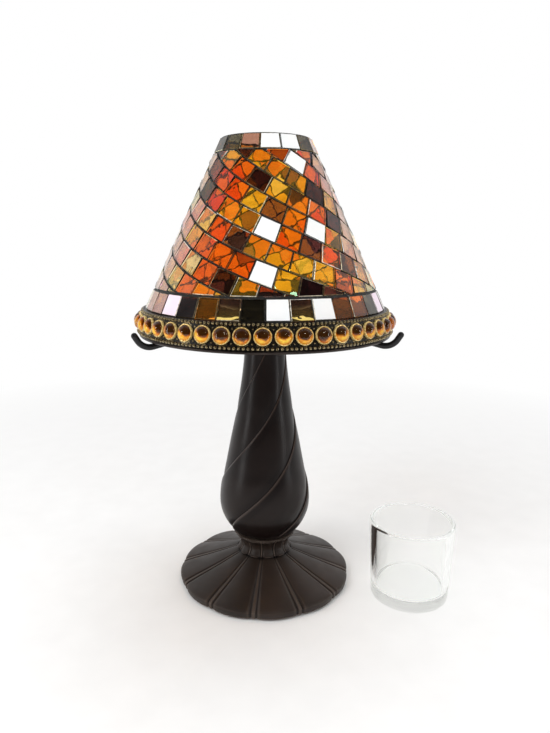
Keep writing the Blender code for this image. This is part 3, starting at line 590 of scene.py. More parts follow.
class Finish(Nodes):
    """A material, and the nodes that it is made of."""

    def __init__(self, name, values):
        self.material = bpy.data.materials.new(name)
        self.material.use_nodes = True
        super().__init__(self.material.node_tree)
        self.shader = self.tree.nodes["Principled BSDF"]
        self.output = self.tree.nodes["Material Output"]
        self.place = self.node("ShaderNodeTexCoord").outputs["Object"]
        for socket, value in values.items():
            self.shader.inputs[socket].default_value = value

    def noise(self, scale, detail=3.0, roughness=0.5, place=None, distortion=0.0):
        inputs = {
            "Vector": place or self.place,
            "Scale": scale,
            "Detail": detail,
            "Roughness": roughness,
            "Distortion": distortion,
        }
        return self.node("ShaderNodeTexNoise", inputs).outputs["Fac"]

    def ramp(self, value, stops):
        made = self.node("ShaderNodeValToRGB", {"Fac": value})
        ends = made.color_ramp.elements
        while len(ends) < len(stops):
            ends.new(0.5)
        for stop, (place, colour) in zip(ends, stops):
            stop.position = place
            stop.color = (*colour, 1) if isinstance(colour, tuple) else (colour, colour, colour, 1)
        return made.outputs["Color"]

    def spread(self, value, low, high, start=0.0, stop=1.0):
        inputs = {"Value": value, "From Min": start, "From Max": stop, "To Min": low, "To Max": high}
        return self.node("ShaderNodeMapRange", inputs).outputs["Result"]

    def maths(self, operation, first, second):
        return self.node("ShaderNodeMath", {0: first, 1: second}, operation=operation).outputs[0]

    def mixed(self, share, first, second, blend="MIX"):
        inputs = {0: share}
        for socket, value in ((6, first), (7, second)):
            inputs[socket] = (*value, 1) if isinstance(value, tuple) else value
        return self.node("ShaderNodeMix", inputs, data_type="RGBA", blend_type=blend).outputs[2]

    def stretched(self, scale, rotation=(0, 0, 0)):
        made = self.node("ShaderNodeMapping", {"Vector": self.place, "Scale": scale, "Rotation": rotation})
        return made.outputs["Vector"]

    def island(self):
        return self.node("ShaderNodeNewGeometry").outputs["Random Per Island"]

    def height_share(self, low, high):
        """How far up between two heights."""
        height = self.node("ShaderNodeSeparateXYZ", {0: self.place}).outputs["Z"]
        return self.spread(height, 0.0, 1.0, low, high)

    def pointiness(self):
        return self.node("ShaderNodeNewGeometry").outputs["Pointiness"]

    def set(self, socket, value):
        self.tree.links.new(value, self.shader.inputs[socket])

    def lets_light_through(self, tint):
        """Lamplight, light between surfaces and light that is caught in the glass pass straight through."""
        rays = self.node("ShaderNodeLightPath").outputs
        passing = self.maths("MAXIMUM", rays["Is Shadow Ray"], rays["Is Diffuse Ray"])
        caught = self.maths("GREATER_THAN", rays["Glossy Depth"], CAUGHT_BOUNCES)
        half = self.node("ShaderNodeGamma", {"Color": tint, "Gamma": 0.5}).outputs[0]
        sheet = self.node("ShaderNodeBsdfTransparent", {"Color": half})
        self.give_way(self.maths("MAXIMUM", passing, caught), sheet)

    def give_way(self, share, other):
        """Lets another shader take over by a share."""
        mix = self.node("ShaderNodeMixShader", {0: share, 1: self.shader.outputs[0], 2: other.outputs[0]})
        self.tree.links.new(mix.outputs[0], self.output.inputs["Surface"])

    def bump(self, height, distance, strength=1.0, below=None):
        inputs = {"Height": height, "Distance": distance, "Strength": strength}
        if below:
            inputs["Normal"] = below
        made = self.node("ShaderNodeBump", inputs).outputs["Normal"]
        self.set("Normal", made)
        return made


def grained(name):
    """A finish whose grain moves its colour and its roughness."""
    values, grain, colours, roughness, relief_grain, relief = GRAINED[name]
    made = Finish(name, values)
    speck = made.noise(*grain)
    made.set("Base Color", made.ramp(speck, colours))
    if roughness:
        made.set("Roughness", made.spread(speck, *roughness))
    made.bump(made.noise(*relief_grain) if relief_grain else speck, *relief)
    return made.material


def cast_bronze(name, specular, shades, roughness):
    """Dark bronzed resin, nearly black brown. Its convex edges are lighter, partly as wear where hands rub
    them and partly as a painted highlight; its hollows and creases are darker with painted shade.
    """
    made = Finish(name, {"Specular IOR Level": specular})
    cloud = made.noise(28, 4, 0.55)
    colour = made.ramp(cloud, ((0.35, shades[0]), (0.65, shades[1])))
    # Painted shade: hollows and creases are darkened in the colour itself.
    painted_crease_shade = made.ramp(made.pointiness(), ((0.43, 0.2), (0.49, 1.0)))
    colour = made.mixed(1.0, colour, painted_crease_shade, "MULTIPLY")
    # Convex edges lighten: partly wear, partly a painted highlight where light would catch them.
    edge_wear_and_highlight = made.ramp(made.pointiness(), ((0.509, 0.0), (0.55, 1.0)))
    made.set("Base Color", made.mixed(edge_wear_and_highlight, colour, shades[2]))
    made.set("Roughness", made.spread(made.noise(90, 3), *roughness, 0.3, 0.7))
    fine = made.bump(made.noise(2600, 2), RELIEF["bronze_grain"], 0.5)
    made.bump(made.noise(160, 3), RELIEF["bronze_waves"], 0.35, fine)
    return made.material


def black_felt():
    made = Finish("black_felt", {"Roughness": 0.95, "Sheen Weight": 0.3})
    fibre = made.noise(1, 4, 0.7, made.stretched((1800, 5200, 1800), (0, 0, 0.6)))
    made.set("Base Color", made.ramp(fibre, ((0.3, (0.008, 0.008, 0.008)), (0.7, (0.026, 0.024, 0.023)))))
    made.bump(fibre, RELIEF["felt"], 0.9)
    return made.material


def tile_glass(kind):
    """Clear coloured glass: each tile has its own tint, with streaks and slightly wavy faces."""
    film, *tints = TINTS[kind]
    values = {"Transmission Weight": 1.0, "IOR": 1.5, "Roughness": 0.0}
    values["Thin Film Thickness"], values["Thin Film IOR"] = film
    made = Finish(f"{kind}_glass", values)
    own = made.ramp(made.island(), [(i / (len(tints) - 1), tint) for i, tint in enumerate(tints)])
    # Painted light: the gold tiles turn paler low down, where light would show through under the rim.
    if kind in LOW_PAINTED_LIGHT_TINTS:
        fade = made.ramp(made.height_share(CONE_BASE, FIELD_BASE), ((0.15, 0.0), (0.75, 1.0)))
        own = made.mixed(fade, LOW_PAINTED_LIGHT_TINTS[kind], own)
    streak = made.noise(1, 3, 0.6, made.stretched((60, 60, 240), (0.5, 0.3, 0)), 0.8)
    pale = made.ramp(streak, ((0.35, 0.86), (0.65, 1.0)))
    tint = made.mixed(1.0, own, pale, "MULTIPLY")
    made.set("Base Color", tint)
    made.bump(made.noise(75, 2, 0.4), RELIEF["tile"], 0.5)
    made.lets_light_through(tint)
    return made.material


def silver_tile(kind):
    """Silvered tiles: their pale colour is a painted reflection of the white surroundings, with a trace of
    colour that moves with the light.
    """
    values = {"Roughness": 0.08, "Specular IOR Level": 0.7}
    values["Thin Film Thickness"], values["Thin Film IOR"] = SILVER_IRIS
    made = Finish(f"{kind}_tile", values)
    first, second = SILVERED_PAINTED_REFLECTION[kind]
    made.set("Base Color", made.ramp(made.noise(40, 2), ((0.3, first), (0.7, second))))
    made.bump(made.noise(90, 2), RELIEF["silver"], 0.2)
    return made.material


def cut_edge(name, stops, metallic):
    """A bevelled edge of the tiles: smeared with grout, or pale with a painted glint."""
    made = Finish(name, {"Metallic": metallic})
    grain = made.ramp(made.noise(600, 3), ((0.40, 0.35), (0.60, 1.0)))
    made.set("Base Color", made.mixed(1.0, made.ramp(made.island(), stops), grain, "MULTIPLY"))
    made.set("Roughness", made.spread(made.noise(300, 2), 0.15, 0.40, 0.3, 0.7))
    made.bump(made.noise(900, 2), RELIEF["edge"], 0.4)
    return made.material


def black_grout():
    made = Finish("black_grout", {"Specular IOR Level": 0.4})
    grain = made.noise(1400, 4, 0.7)
    glint = made.ramp(made.noise(1100, 2, 0.6), ((0.65, 0.0), (0.72, 1.0)))
    made.set("Base Color", made.mixed(glint, made.ramp(grain, GROUT_STOPS), GROUT_GLINT))
    made.set("Roughness", made.spread(grain, 0.45, 0.8))
    made.bump(grain, RELIEF["grout"], 0.9)
    return made.material


def clear_glass(name, ior, cloud, pale, wave, relief, strength):
    """Clear glass with a trace of a tint in slow clouds, and slightly wavy faces."""
    made = Finish(name, {"Transmission Weight": 1.0, "IOR": ior, "Roughness": 0.0})
    tint = made.ramp(made.noise(cloud, 2), ((0.3, pale), (0.7, (1.0, 1.0, 1.0))))
    made.set("Base Color", tint)
    made.bump(made.noise(wave, 2), relief, strength)
    made.lets_light_through(tint)
    return made


def painted_light_foil():
    """Foil behind the stones, with painted shade over most of it and a crescent of painted light low down,
    where the stone would focus light.
    """
    made = Finish("painted_light_foil", {"Metallic": 0.1, "Specular IOR Level": 0.1})
    axes = made.node("ShaderNodeSeparateXYZ", {0: made.place}).outputs
    turn = made.maths("ARCTAN2", axes["X"], made.maths("MULTIPLY", axes["Y"], -1.0))
    share = made.maths("ADD", made.maths("MULTIPLY", turn, CABOCHONS / TURN), CABOCHONS + 0.5)
    across = made.maths("SUBTRACT", made.maths("FRACT", share, 0.0), 0.5)
    across = made.maths("MULTIPLY", across, TURN * SEAT_RADIUS / CABOCHONS / STONE_RADIUS)
    middle = (TRIM_BASE + TRIM_TOP) / 2
    up = made.maths("SUBTRACT", axes["Z"], middle)
    up = made.maths("MULTIPLY", up, 1 / (STONE_RADIUS * math.cos(TRIM_LEAN)))
    spot = made.node("ShaderNodeCombineXYZ", {0: across, 1: up}).outputs[0]
    apart = {0: spot, 1: FOIL_SHADE_SPOT_SHARE}
    reach = made.node("ShaderNodeVectorMath", apart, operation="DISTANCE").outputs["Value"]
    reach = made.maths("ADD", reach, made.spread(made.island(), -0.12, 0.16))
    reach = made.maths("ADD", reach, made.spread(made.noise(380, 2), -0.12, 0.12, 0.3, 0.7))
    reach = made.spread(reach, 0.0, 1.0, 0.0, FOIL_REACH_SHARE)
    made.set("Base Color", made.ramp(reach, FOIL_PAINTED_LIGHT_STOPS))
    made.set("Roughness", made.spread(made.noise(420, 3, 0.6), 0.22, 0.42, 0.3, 0.7))
    made.bump(made.noise(500, 3), RELIEF["foil"], 0.4)
    return made.material


def amber_stone(name, ior):
    """Amber glass, deeper in colour towards its rim. A base that is cemented to its foil has an IOR of 1."""
    made = Finish(name, {"Transmission Weight": 1.0, "IOR": ior, "Roughness": 0.01})
    axes = made.node("ShaderNodeSeparateXYZ", {0: made.place}).outputs
    flat = made.node("ShaderNodeCombineXYZ", {0: axes["X"], 1: axes["Y"]}).outputs[0]
    reach = made.node("ShaderNodeVectorMath", {0: flat}, operation="LENGTH").outputs["Value"]
    reach = made.maths("ADD", reach, made.spread(made.noise(260, 2), -STONE_CLOUD, STONE_CLOUD, 0.3, 0.7))
    tint = made.ramp(made.spread(reach, 0.0, 1.0, 0.0, STONE_RADIUS), STONE_STOPS)
    made.set("Base Color", tint)
    made.bump(made.noise(120, 1), RELIEF["stone"], 0.15)
    made.lets_light_through(tint)
    return made.material


def cup_glass():
    made = clear_glass("cup_glass", 1.45, 25, (0.99, 1.0, 0.99), 45, RELIEF["cup"], 0.12)
    body = made.node("ShaderNodeVolumeAbsorption", {"Color": CUP_TINT, "Density": CUP_DENSITY})
    made.tree.links.new(body.outputs[0], made.output.inputs["Volume"])
    return made.material


def foot_rings():
    """Scalloped rings from the underside up to the collar's top."""
    lip = COLLAR_LIP_RADIUS - COLLAR_WAIST_RADIUS
    disc = FOOT_RADIUS - DISC_INNER_RADIUS
    rise = DISC_HEIGHT - FOOT_LOW.z
    high = FOOT_HIGH.z - DISC_HEIGHT
    outline = []
    for shares, radius, width, low, height in (
        (COLLAR_SHARES, COLLAR_WAIST_RADIUS, lip, DISC_HEIGHT, high),
        (DISC_SHARES, DISC_INNER_RADIUS, disc, FOOT_LOW.z, rise),
    ):
        knots = [(radius + width * out, low + height * up, groove) for out, up, groove in shares]
        outline += smooth(knots, OUTLINE_STEPS)
    rings = []
    for index, (radius, height, groove) in enumerate(outline):
        outward = Vector((1, 0))
        if 0 < index < len(outline) - 1:
            before, after = outline[index - 1], outline[index + 1]
            outward = Vector((before[1] - after[1], after[0] - before[0])).normalized()
        place = (radius - DISC_INNER_RADIUS) / disc
        half = BAND_INNER + (BAND_OUTER - BAND_INNER) * max(place, 0)
        rings.append(lobed_ring(radius, height, groove * GROOVE_DEPTH, half, outward))
    return rings[::-1]


def lobe_profile(half, width):
    """(place, depth) across one lobe from groove to groove: shares of its width and of the groove's depth."""
    rise = [(out * half / width, depth) for out, depth in GROOVE_SHARES]
    edge, level = rise[-1]
    for i in range(1, PILLOW_STEPS):
        place = edge + (0.5 - edge) * i / PILLOW_STEPS
        rise.append((place, level * ((0.5 - place) / (0.5 - edge)) ** 2))
    fall = [(1 - place, depth) for place, depth in rise[:0:-1]]
    return [*rise, (0.5, 0.0), *fall]


def lobed_ring(radius, height, depth, half, outward):
    ring = []
    width = radius * TURN / LOBES
    for lobe in range(LOBES):
        for place, share in lobe_profile(half, width):
            angle = LOBE_TURN + (lobe + place) * TURN / LOBES
            sink = share * depth
            ring.append(around(radius - sink * outward.x, angle, height - sink * outward.y))
    return ring


def plain_rings(outline, ring):
    """Rings of the same angles as another, at each (radius, height)."""
    angles = [math.atan2(point.x, -point.y) for point in ring]
    return [[around(radius, angle, height) for angle in angles] for radius, height in outline]


def make_foot(bronze):
    shape = Shape()
    rings = foot_rings()
    well_top = FOOT_LOW.z + NUT_WELL_DEPTH
    bore = [
        (BORE_RADIUS, FOOT_HIGH.z),
        (BORE_RADIUS, well_top),
        (NUT_WELL_RADIUS, well_top),
        (NUT_WELL_RADIUS, FOOT_LOW.z),
    ]
    shape.skin(rings + plain_rings(bore, rings[-1]), looped=True)
    build("scalloped_foot", shape, [bronze], "base", ["foot"])


def make_column(bronze):
    """Four leaves that overlap like petals, twisted round the axis."""
    leaf = list(LEAF_EDGE_SHARES) + [tuple(point) for point in smooth(LEAF_SHARES, LEAF_STEPS)[:-1]]
    length = COLUMN_HIGH.z - COLUMN_LOW.z
    rings = []
    for up, out in smooth(COLUMN_SHARES, COLUMN_STEPS):
        radius = COLUMN_RADIUS * out
        ring = []
        for number in range(LEAVES):
            for place, depth in leaf:
                angle = LEAF_TURN + LEAF_TWIST * up + (number + place) * TURN / LEAVES
                ring.append(around(radius * (1 - CREASE_SHARE * depth), angle, COLUMN_LOW.z + length * up))
        rings.append(ring)
    low = plain_rings([(BORE_RADIUS, COLUMN_LOW.z)], rings[0])
    high = plain_rings([(BORE_RADIUS, COLUMN_HIGH.z)], rings[-1])
    shape = Shape()
    shape.skin(low + rings + high, looped=True)
    build("twisted_column", shape, [bronze], "base", ["column"])


def make_hub(iron):
    well = DISH_WELL_RADIUS + DISH_WALL + GAP
    corner = HUB_RADIUS - HUB_ROUND
    outline = [
        (BORE_RADIUS, HUB_LOW.z),
        *arc((corner, HUB_LOW.z + HUB_ROUND), HUB_ROUND, -QUARTER, 0, HUB_CORNER_STEPS),
        *arc((corner, HUB_HIGH.z - HUB_ROUND), HUB_ROUND, 0, QUARTER, HUB_CORNER_STEPS),
        (well, HUB_HIGH.z),
        (well, HUB_HIGH.z - DISH_WELL_DEPTH),
        (BORE_RADIUS, HUB_HIGH.z - DISH_WELL_DEPTH),
    ]
    build_turned("arm_hub", outline, HUB_SEGMENTS, iron, "base", "hub")


def make_dish(iron):
    """A pressed dish with a turned-up rim and a bead along its edge."""
    floor = HUB_HIGH.z + GAP
    floor_top = floor + DISH_WALL
    well_floor = floor_top - DISH_WELL_DEPTH
    corner = (DISH_RADIUS - DISH_WALL - DISH_CORNER, floor_top + DISH_CORNER)
    rim = (DISH_RADIUS - DISH_WALL / 2, DISH_HIGH.z - DISH_WALL / 2)
    outline = [
        (BORE_RADIUS, well_floor - DISH_WALL + GAP),
        (DISH_WELL_RADIUS + DISH_WALL, well_floor - DISH_WALL + GAP),
        (DISH_WELL_RADIUS + DISH_WALL, floor),
        *arc(corner, DISH_CORNER + DISH_WALL, -QUARTER, 0, DISH_CORNER_STEPS),
        *arc(rim, DISH_WALL / 2, 0, math.pi, DISH_CORNER_STEPS),
        *arc(corner, DISH_CORNER, 0, -QUARTER, DISH_CORNER_STEPS),
        (DISH_WELL_RADIUS, floor_top),
        (DISH_WELL_RADIUS, well_floor),
        (BORE_RADIUS, well_floor),
    ]
    build_turned("candle_dish", outline, DISH_SEGMENTS, iron, "base", "cup_dish")


def arm_path():
    """(point, along, share of the rod's radius): a slope down and outward, a hook, and a round tip."""
    root = Vector((ARM_ROOT_RADIUS, 0, HUB_LOW.z + ARM_ROOT_HEIGHT))
    low = LIP_RADIUS - ARM_SEAT_INSET
    start = low - ARM_BEND_RADIUS * math.sin(ARM_SLOPE)
    height = root.z - (start - root.x) * math.tan(ARM_SLOPE)
    centre = Vector((low, 0, height + ARM_BEND_RADIUS * math.cos(ARM_SLOPE)))
    path = [(root, Vector((math.cos(ARM_SLOPE), 0, -math.sin(ARM_SLOPE))), 1.0)]
    for i in range(ARM_BEND_STEPS + 1):
        angle = (ARM_SLOPE + ARM_TIP_SLOPE) * i / ARM_BEND_STEPS - ARM_SLOPE
        down = Vector((math.sin(angle), 0, -math.cos(angle)))
        path.append((centre + down * ARM_BEND_RADIUS, Vector((math.cos(angle), 0, math.sin(angle))), 1.0))
    along = path[-1][1]
    shoulder = path[-1][0] + along * (ARM_TIP_LENGTH - ARM_RADIUS)
    for i in range(ARM_TIP_STEPS + 1):
        angle = QUARTER * ARM_TIP_SHARE * i / ARM_TIP_STEPS
        path.append((shoulder + along * ARM_RADIUS * math.sin(angle), along, math.cos(angle)))
    return path


def make_arms(iron):
    for number in range(ARMS):
        spin = Matrix.Rotation(ARM_TURN - QUARTER + number * TURN / ARMS, 4, "Z")
        side = Vector((0, 1, 0))
        rings = []
        for point, along, share in arm_path():
            ring = circle(point, along.cross(side), side, ARM_RADIUS * share, ARM_SIDES)
            rings.append([spin @ spot for spot in ring])
        shape = Shape()
        shape.skin(rings)
        build(f"shade_arm_{number + 1}", shape, [iron], "base", [f"arm_{number + 1}"])


def cone_radius(height):
    return CONE_BOTTOM_RADIUS - SLOPE * (height - CONE_BASE)


def on_cone(angle, height, depth=0.0):
    """A point a depth under the cone of the tiles' faces."""
    return around(cone_radius(height) - depth / math.cos(CONE_ANGLE), angle, height)


def cone_normal(angle):
    return around(math.cos(CONE_ANGLE), angle, 0) + Vector((0, 0, math.sin(CONE_ANGLE)))


def make_shade_glass(glass):
    inner = GLASS_DEPTH + GLASS_WALL
    outline = []
    for height, depth in (
        (GLASS_LOW.z, GLASS_DEPTH),
        (GLASS_HIGH.z, GLASS_DEPTH),
        (GLASS_HIGH.z, inner),
        (GLASS_LOW.z, inner),
    ):
        outline.append((cone_radius(height) - depth / math.cos(CONE_ANGLE), height))
    build_turned("glass_cone", outline, SHADE_SEGMENTS, glass, "shade", "shade_glass")


def row_cells(tiles, turn, low, high):
    step = TURN / tiles
    cells = []
    for i in range(tiles):
        left, right = turn + i * step, turn + (i + 1) * step
        cells.append([(left, low), (right, low), (right, high), (left, high)])
    return cells


def tile_pitch(height):
    share = (height - FIELD_BASE) / FIELD_HEIGHT
    return TILE_BOTTOM_PITCH + (TILE_TOP_PITCH - TILE_BOTTOM_PITCH) * share


def course_joints(course):
    """Where a course's cross joints meet its lower and its upper edge, as (angle, height) pairs."""
    start = COURSE_TURN + (course + 0.5) * TURN / COURSES
    joints = []
    angle = start - 2 * TILE_TOP_PITCH / CONE_TOP_RADIUS
    slant = COURSE_DROP / math.cos(CONE_ANGLE)
    moved = False
    while True:
        middle = FIELD_TOP - COURSE_DROP * (angle - start)
        level = min(middle, FIELD_TOP)
        radius = cone_radius(level)
        if moved:
            lean = JOINT_LEAN_SHARE * slant / math.cos(CONE_ANGLE) / radius**2
            reach = COURSE_SPACING / 2 / (1 + COURSE_DROP * lean)
            low = (angle - lean * reach, middle - reach)
            high = (angle + lean * reach, middle + reach)
            joints.append((low, high))
            if high[1] < FIELD_BASE - COURSE_SPACING:
                return joints
        share = 1 if moved else COURSE_OFFSET_SHARES[course % len(COURSE_OFFSET_SHARES)]
        angle += share * tile_pitch(level) / math.hypot(radius, slant)
        moved = True


def clipped(cell, height, keep_above):
    """The part of a convex cell on one side of a level line."""
    sign = 1 if keep_above else -1
    kept = []
    for (angle, level), (next_angle, next_level) in zip(cell, cell[1:] + cell[:1]):
        here, there = sign * (level - height), sign * (next_level - height)
        if here >= 0:
            kept.append((angle, level))
        if here * there < 0:
            share = here / (here - there)
            kept.append((angle + share * (next_angle - angle), height))
    return kept


def field_cells():
    """(course, cell) of each tile between the two level rows."""
    cells = []
    for course in range(COURSES):
        joints = course_joints(course)
        for (low, high), (next_low, next_high) in zip(joints, joints[1:]):
            cell = clipped([low, next_low, next_high, high], FIELD_BASE, True)
            cell = clipped(cell, FIELD_TOP, False) if cell else cell
            if len(cell) > 2:
                cells.append((course, cell))
    return cells


def inset(corners, margins):
    """Moves each side of a convex flat outline in by its margin. Sides too short to keep shrink to points."""
    count = len(corners)
    runs = [(end - start).normalized() for start, end in zip(corners, corners[1:] + corners[:1])]
    kept = list(range(count))
    while len(kept) > 2:
        spots = {}
        for before, here in zip(kept[-1:] + kept[:-1], kept):
            first, second = runs[before], runs[here]
            turn = first.cross(second)
            if abs(turn) < math.sin(LEAST_CORNER):
                return []
            reach = (corners[here] - corners[before]).cross(second) / turn
            shift = (second * margins[before] - first * margins[here]) / turn
            spots[here] = corners[before] + first * reach + shift
        ends = kept[1:] + kept[:1]
        lengths = [runs[here].dot(spots[after] - spots[here]) for here, after in zip(kept, ends)]
        if min(lengths) > GAP:
            return [spots[min(kept, key=lambda side: (side - i) % count)] for i in range(count)]
        del kept[lengths.index(min(lengths))]
    return []


def side_margins(cell, more):
    """How far each side of a tile stands back: half a joint, wider below the field, and some more."""
    margins = []
    for (_, height), (_, next_height) in zip(cell, cell[1:] + cell[:1]):
        off = abs(height - FIELD_BASE) + abs(next_height - FIELD_BASE)
        width = LEVEL_JOINT_WIDTH if off < MERGE_DISTANCE else JOINT_WIDTH
        margins.append(width / 2 + more)
    return margins


def cell_frame(cell):
    """(centre, across, up, normal, flat corners) of the plane through a cell's corners."""
    corners = [on_cone(*corner) for corner in cell]
    centre = sum(corners, Vector()) / len(corners)
    angle = sum(corner[0] for corner in cell) / len(cell)
    across = around(1, angle + QUARTER, 0)
    normal = cone_normal(angle)
    up = normal.cross(across)
    flat = [Vector(((c - centre).dot(across), (c - centre).dot(up))) for c in corners]
    return centre, across, up, normal, flat


def middle_angle(cell):
    angle = sum(corner[0] for corner in cell) / len(cell)
    return (angle + math.pi) % TURN - math.pi


def nearest_kind(places, angle, reach):
    """The kind whose stated angle lies nearest, if one is within reach."""
    found = []
    for kind, angles in places.items():
        found += [(abs(math.radians(place) - angle), kind) for place in angles]
    found = [pair for pair in found if pair[0] < reach]
    return min(found)[1] if found else None


def tile_cells():
    """(cell, kind) of every tile."""
    draws = random.Random(TILE_SEED)
    chosen = []

    def drawn(weights):
        return draws.choices(list(weights), list(weights.values()))[0]

    rows = (
        (BOTTOM_ROW_TILES, BOTTOM_ROW_TURN, CONE_BASE, FIELD_BASE, BOTTOM_PLACES),
        (TOP_ROW_TILES, TOP_ROW_TURN, FIELD_TOP, CONE_TOP, TOP_PLACES),
    )
    for tiles, turn, low, high, places in rows:
        for cell in row_cells(tiles, turn, low, high):
            kind = drawn(ROW_WEIGHTS)
            chosen.append((cell, nearest_kind(places, middle_angle(cell), TURN / tiles / 2) or kind))
    for course, cell in field_cells():
        kind = drawn(FIELD_WEIGHTS)
        places = {name: courses.get(course, ()) for name, courses in TILE_PLACES.items()}
        chosen.append((cell, nearest_kind(places, middle_angle(cell), PLACE_REACH) or kind))
    return chosen


def outline_steps(cell):
    """How many steps each side of a cell takes to follow the cone."""
    steps = []
    for (angle, _), (next_angle, _) in zip(cell, cell[1:] + cell[:1]):
        steps.append(max(1, math.ceil(abs(next_angle - angle) / GROUT_STEP)))
    return steps


def divided(points, steps):
    """The points of an outline with each side cut into its steps."""
    made = []
    for start, end, count in zip(points, points[1:] + points[:1], steps):
        made.extend(start + (end - start) * i / count for i in range(count))
    return made


def make_mosaic(glasses, cut, silvering, bright, grout):
    """Bevelled tiles, each a little out of true, and the grout that stands round them."""
    draws = random.Random(TILE_SEED)
    tiles = {kind: Shape() for kind in TILES}
    bed = Shape()
    for cell, kind in tile_cells():
        centre, across, up, normal, flat = cell_frame(cell)
        spin = draws.uniform(-TILE_SPIN, TILE_SPIN)
        shift = Vector((draws.uniform(-1, 1), draws.uniform(-1, 1))) * TILE_SHIFT
        tilt_x, tilt_y = (math.tan(draws.uniform(-TILE_TILT, TILE_TILT)) for _ in range(2))
        steps = outline_steps(cell)
        corner_places = [np.array(corner) for corner in cell]
        border = divided(corner_places, steps)
        outline = inset(flat, side_margins(cell, 0))
        hole = inset(flat, side_margins(cell, -TILE_CLEARANCE - TILE_SHIFT))
        edge = inset(flat, side_margins(cell, TILE_BEVEL)) if outline else []
        if not edge or not hole:
            depths = (GROUT_EDGE_DEPTH, MOSAIC_THICKNESS)
            bed.skin([[on_cone(*place, depth) for place in border] for depth in depths])
            continue

        def placed(point, depth, turned=True):
            if turned:
                point = Matrix.Rotation(spin, 2) @ point + shift
            lift = tilt_x * point.x + tilt_y * point.y if turned else 0
            return centre + across * point.x + up * point.y + normal * (lift - depth)

        tile = [
            [placed(point, 0) for point in edge],
            [placed(point, TILE_BEVEL) for point in outline],
            [placed(point, TILE_THICKNESS) for point in outline],
        ]
        tiles[kind].skin(tile, kinds=(0, 2 if kind in SILVERED_PAINTED_REFLECTION else 0, 1, 0))
        bevels = len(tiles[kind].kinds) - 2 * len(outline)
        # Some bevels get the pale colours of a painted glint.
        for side in range(len(outline)):
            if draws.random() < PAINTED_GLINT_EDGE_SHARES[min(side, 3)]:
                tiles[kind].kinds[bevels + side] = 3
        wall = divided(hole, steps)
        rings = [
            [on_cone(*place, GROUT_DEPTH) for place in border],
            [placed(point, GROUT_EDGE_DEPTH, False) for point in wall],
            [placed(point, TILE_THICKNESS + GAP, False) for point in wall],
            [on_cone(*place, MOSAIC_THICKNESS) for place in border],
        ]
        bed.skin(rings, looped=True)
    for kind, shape in tiles.items():
        finishes = [glasses[kind], cut, silvering, bright]
        build(f"{kind}_tiles", shape, finishes, "shade", ["mosaic"], flat=True)
    build("mosaic_grout", bed, [grout], "shade", ["mosaic"], flat=True)


def trim_radius(height):
    return TRIM_TOP_RADIUS + (TRIM_TOP - height) * math.tan(TRIM_LEAN)


def make_channel(bronze):
    """The rolled rim: a ledge under the glass, a wall behind the strip and a round lip below it."""
    behind = STRIP_THICKNESS + GAP
    low = CHANNEL_LOW.z
    lip_top = low + LIP_HEIGHT
    ledge = GLASS_LOW.z - GAP
    wall_low = trim_radius(lip_top) - behind
    wall_inner = wall_low - CHANNEL_WALL
    side = GLASS_DEPTH / math.cos(CONE_ANGLE)
    inside = (GLASS_DEPTH + GLASS_WALL) / math.cos(CONE_ANGLE)
    half = LIP_HEIGHT / 2
    outline = [
        (LIP_RADIUS - CHANNEL_FLANGE, low),
        *arc((LIP_RADIUS - half, low + half), half, -QUARTER, QUARTER, LIP_STEPS),
        (wall_low, lip_top),
        (trim_radius(TRIM_TOP) - behind, TRIM_TOP),
        (cone_radius(TRIM_TOP) - side + GAP, TRIM_TOP),
        (cone_radius(ledge) - side + GAP, ledge),
        (cone_radius(ledge) - inside, ledge),
        (cone_radius(ledge) - inside, ledge - CHANNEL_WALL),
        (wall_inner, ledge - CHANNEL_WALL),
        (wall_inner, low + CHANNEL_WALL),
        (LIP_RADIUS - CHANNEL_FLANGE, low + CHANNEL_WALL),
    ]
    build_turned("rolled_rim", outline, SHADE_SEGMENTS, bronze, "shade", "rim_channel")


def ball(shape, centre, radius, out, across, up):
    """A bead: rings round the line that points out of the strip."""
    rings = []
    for i in range(BEAD_RINGS):
        tip = QUARTER * (i / (BEAD_RINGS - 1) * BEAD_TIP_SHARE - BEAD_SINK_SHARE)
        middle = centre + out * radius * math.sin(tip)
        rings.append(circle(middle, across, up, radius * math.cos(tip), BEAD_SIDES))
    shape.skin(rings, kinds=(1, 1, 1))


def bezel_frame(turn):
    """Stands on the strip at an angle: its Z axis points out of the strip."""
    middle = (TRIM_BASE + TRIM_TOP) / 2
    low = around(trim_radius(TRIM_BASE), turn, TRIM_BASE)
    high = around(trim_radius(TRIM_TOP), turn, TRIM_TOP)
    up = (high - low).normalized()
    across = around(1, turn + QUARTER, 0)
    made = Matrix((across, up, across.cross(up))).transposed().to_4x4()
    made.translation = around(trim_radius(middle) * math.cos(TURN / CABOCHONS / 2), turn, middle)
    return made


def bezel_rings(place, outline):
    """Rings round a bezel's axis, at each (radius, height)."""
    rings = []
    for radius, height in outline:
        ring = circle(Vector((0, 0, height)), Vector((1, 0, 0)), Vector((0, 1, 0)), radius, STONE_SIDES)
        rings.append([place @ spot for spot in ring])
    return rings


def wire(shape, places, radius, place_of):
    """A thin round wire along points in a bezel's plane."""
    rings = []
    count = len(places)
    for i in range(count):
        before = places[max(i - 1, 0)]
        after = places[min(i + 1, count - 1)]
        along = Vector((after[0] - before[0], after[1] - before[1])).normalized()
        side = Vector((along.y, -along.x, 0))
        centre = Vector((*places[i], radius * WIRE_LIFT_SHARE))
        ring = circle(centre, side, Vector((0, 0, 1)), radius, WIRE_SIDES)
        rings.append([place_of @ spot for spot in ring])
    shape.skin(rings, kinds=(1, 1, 1))


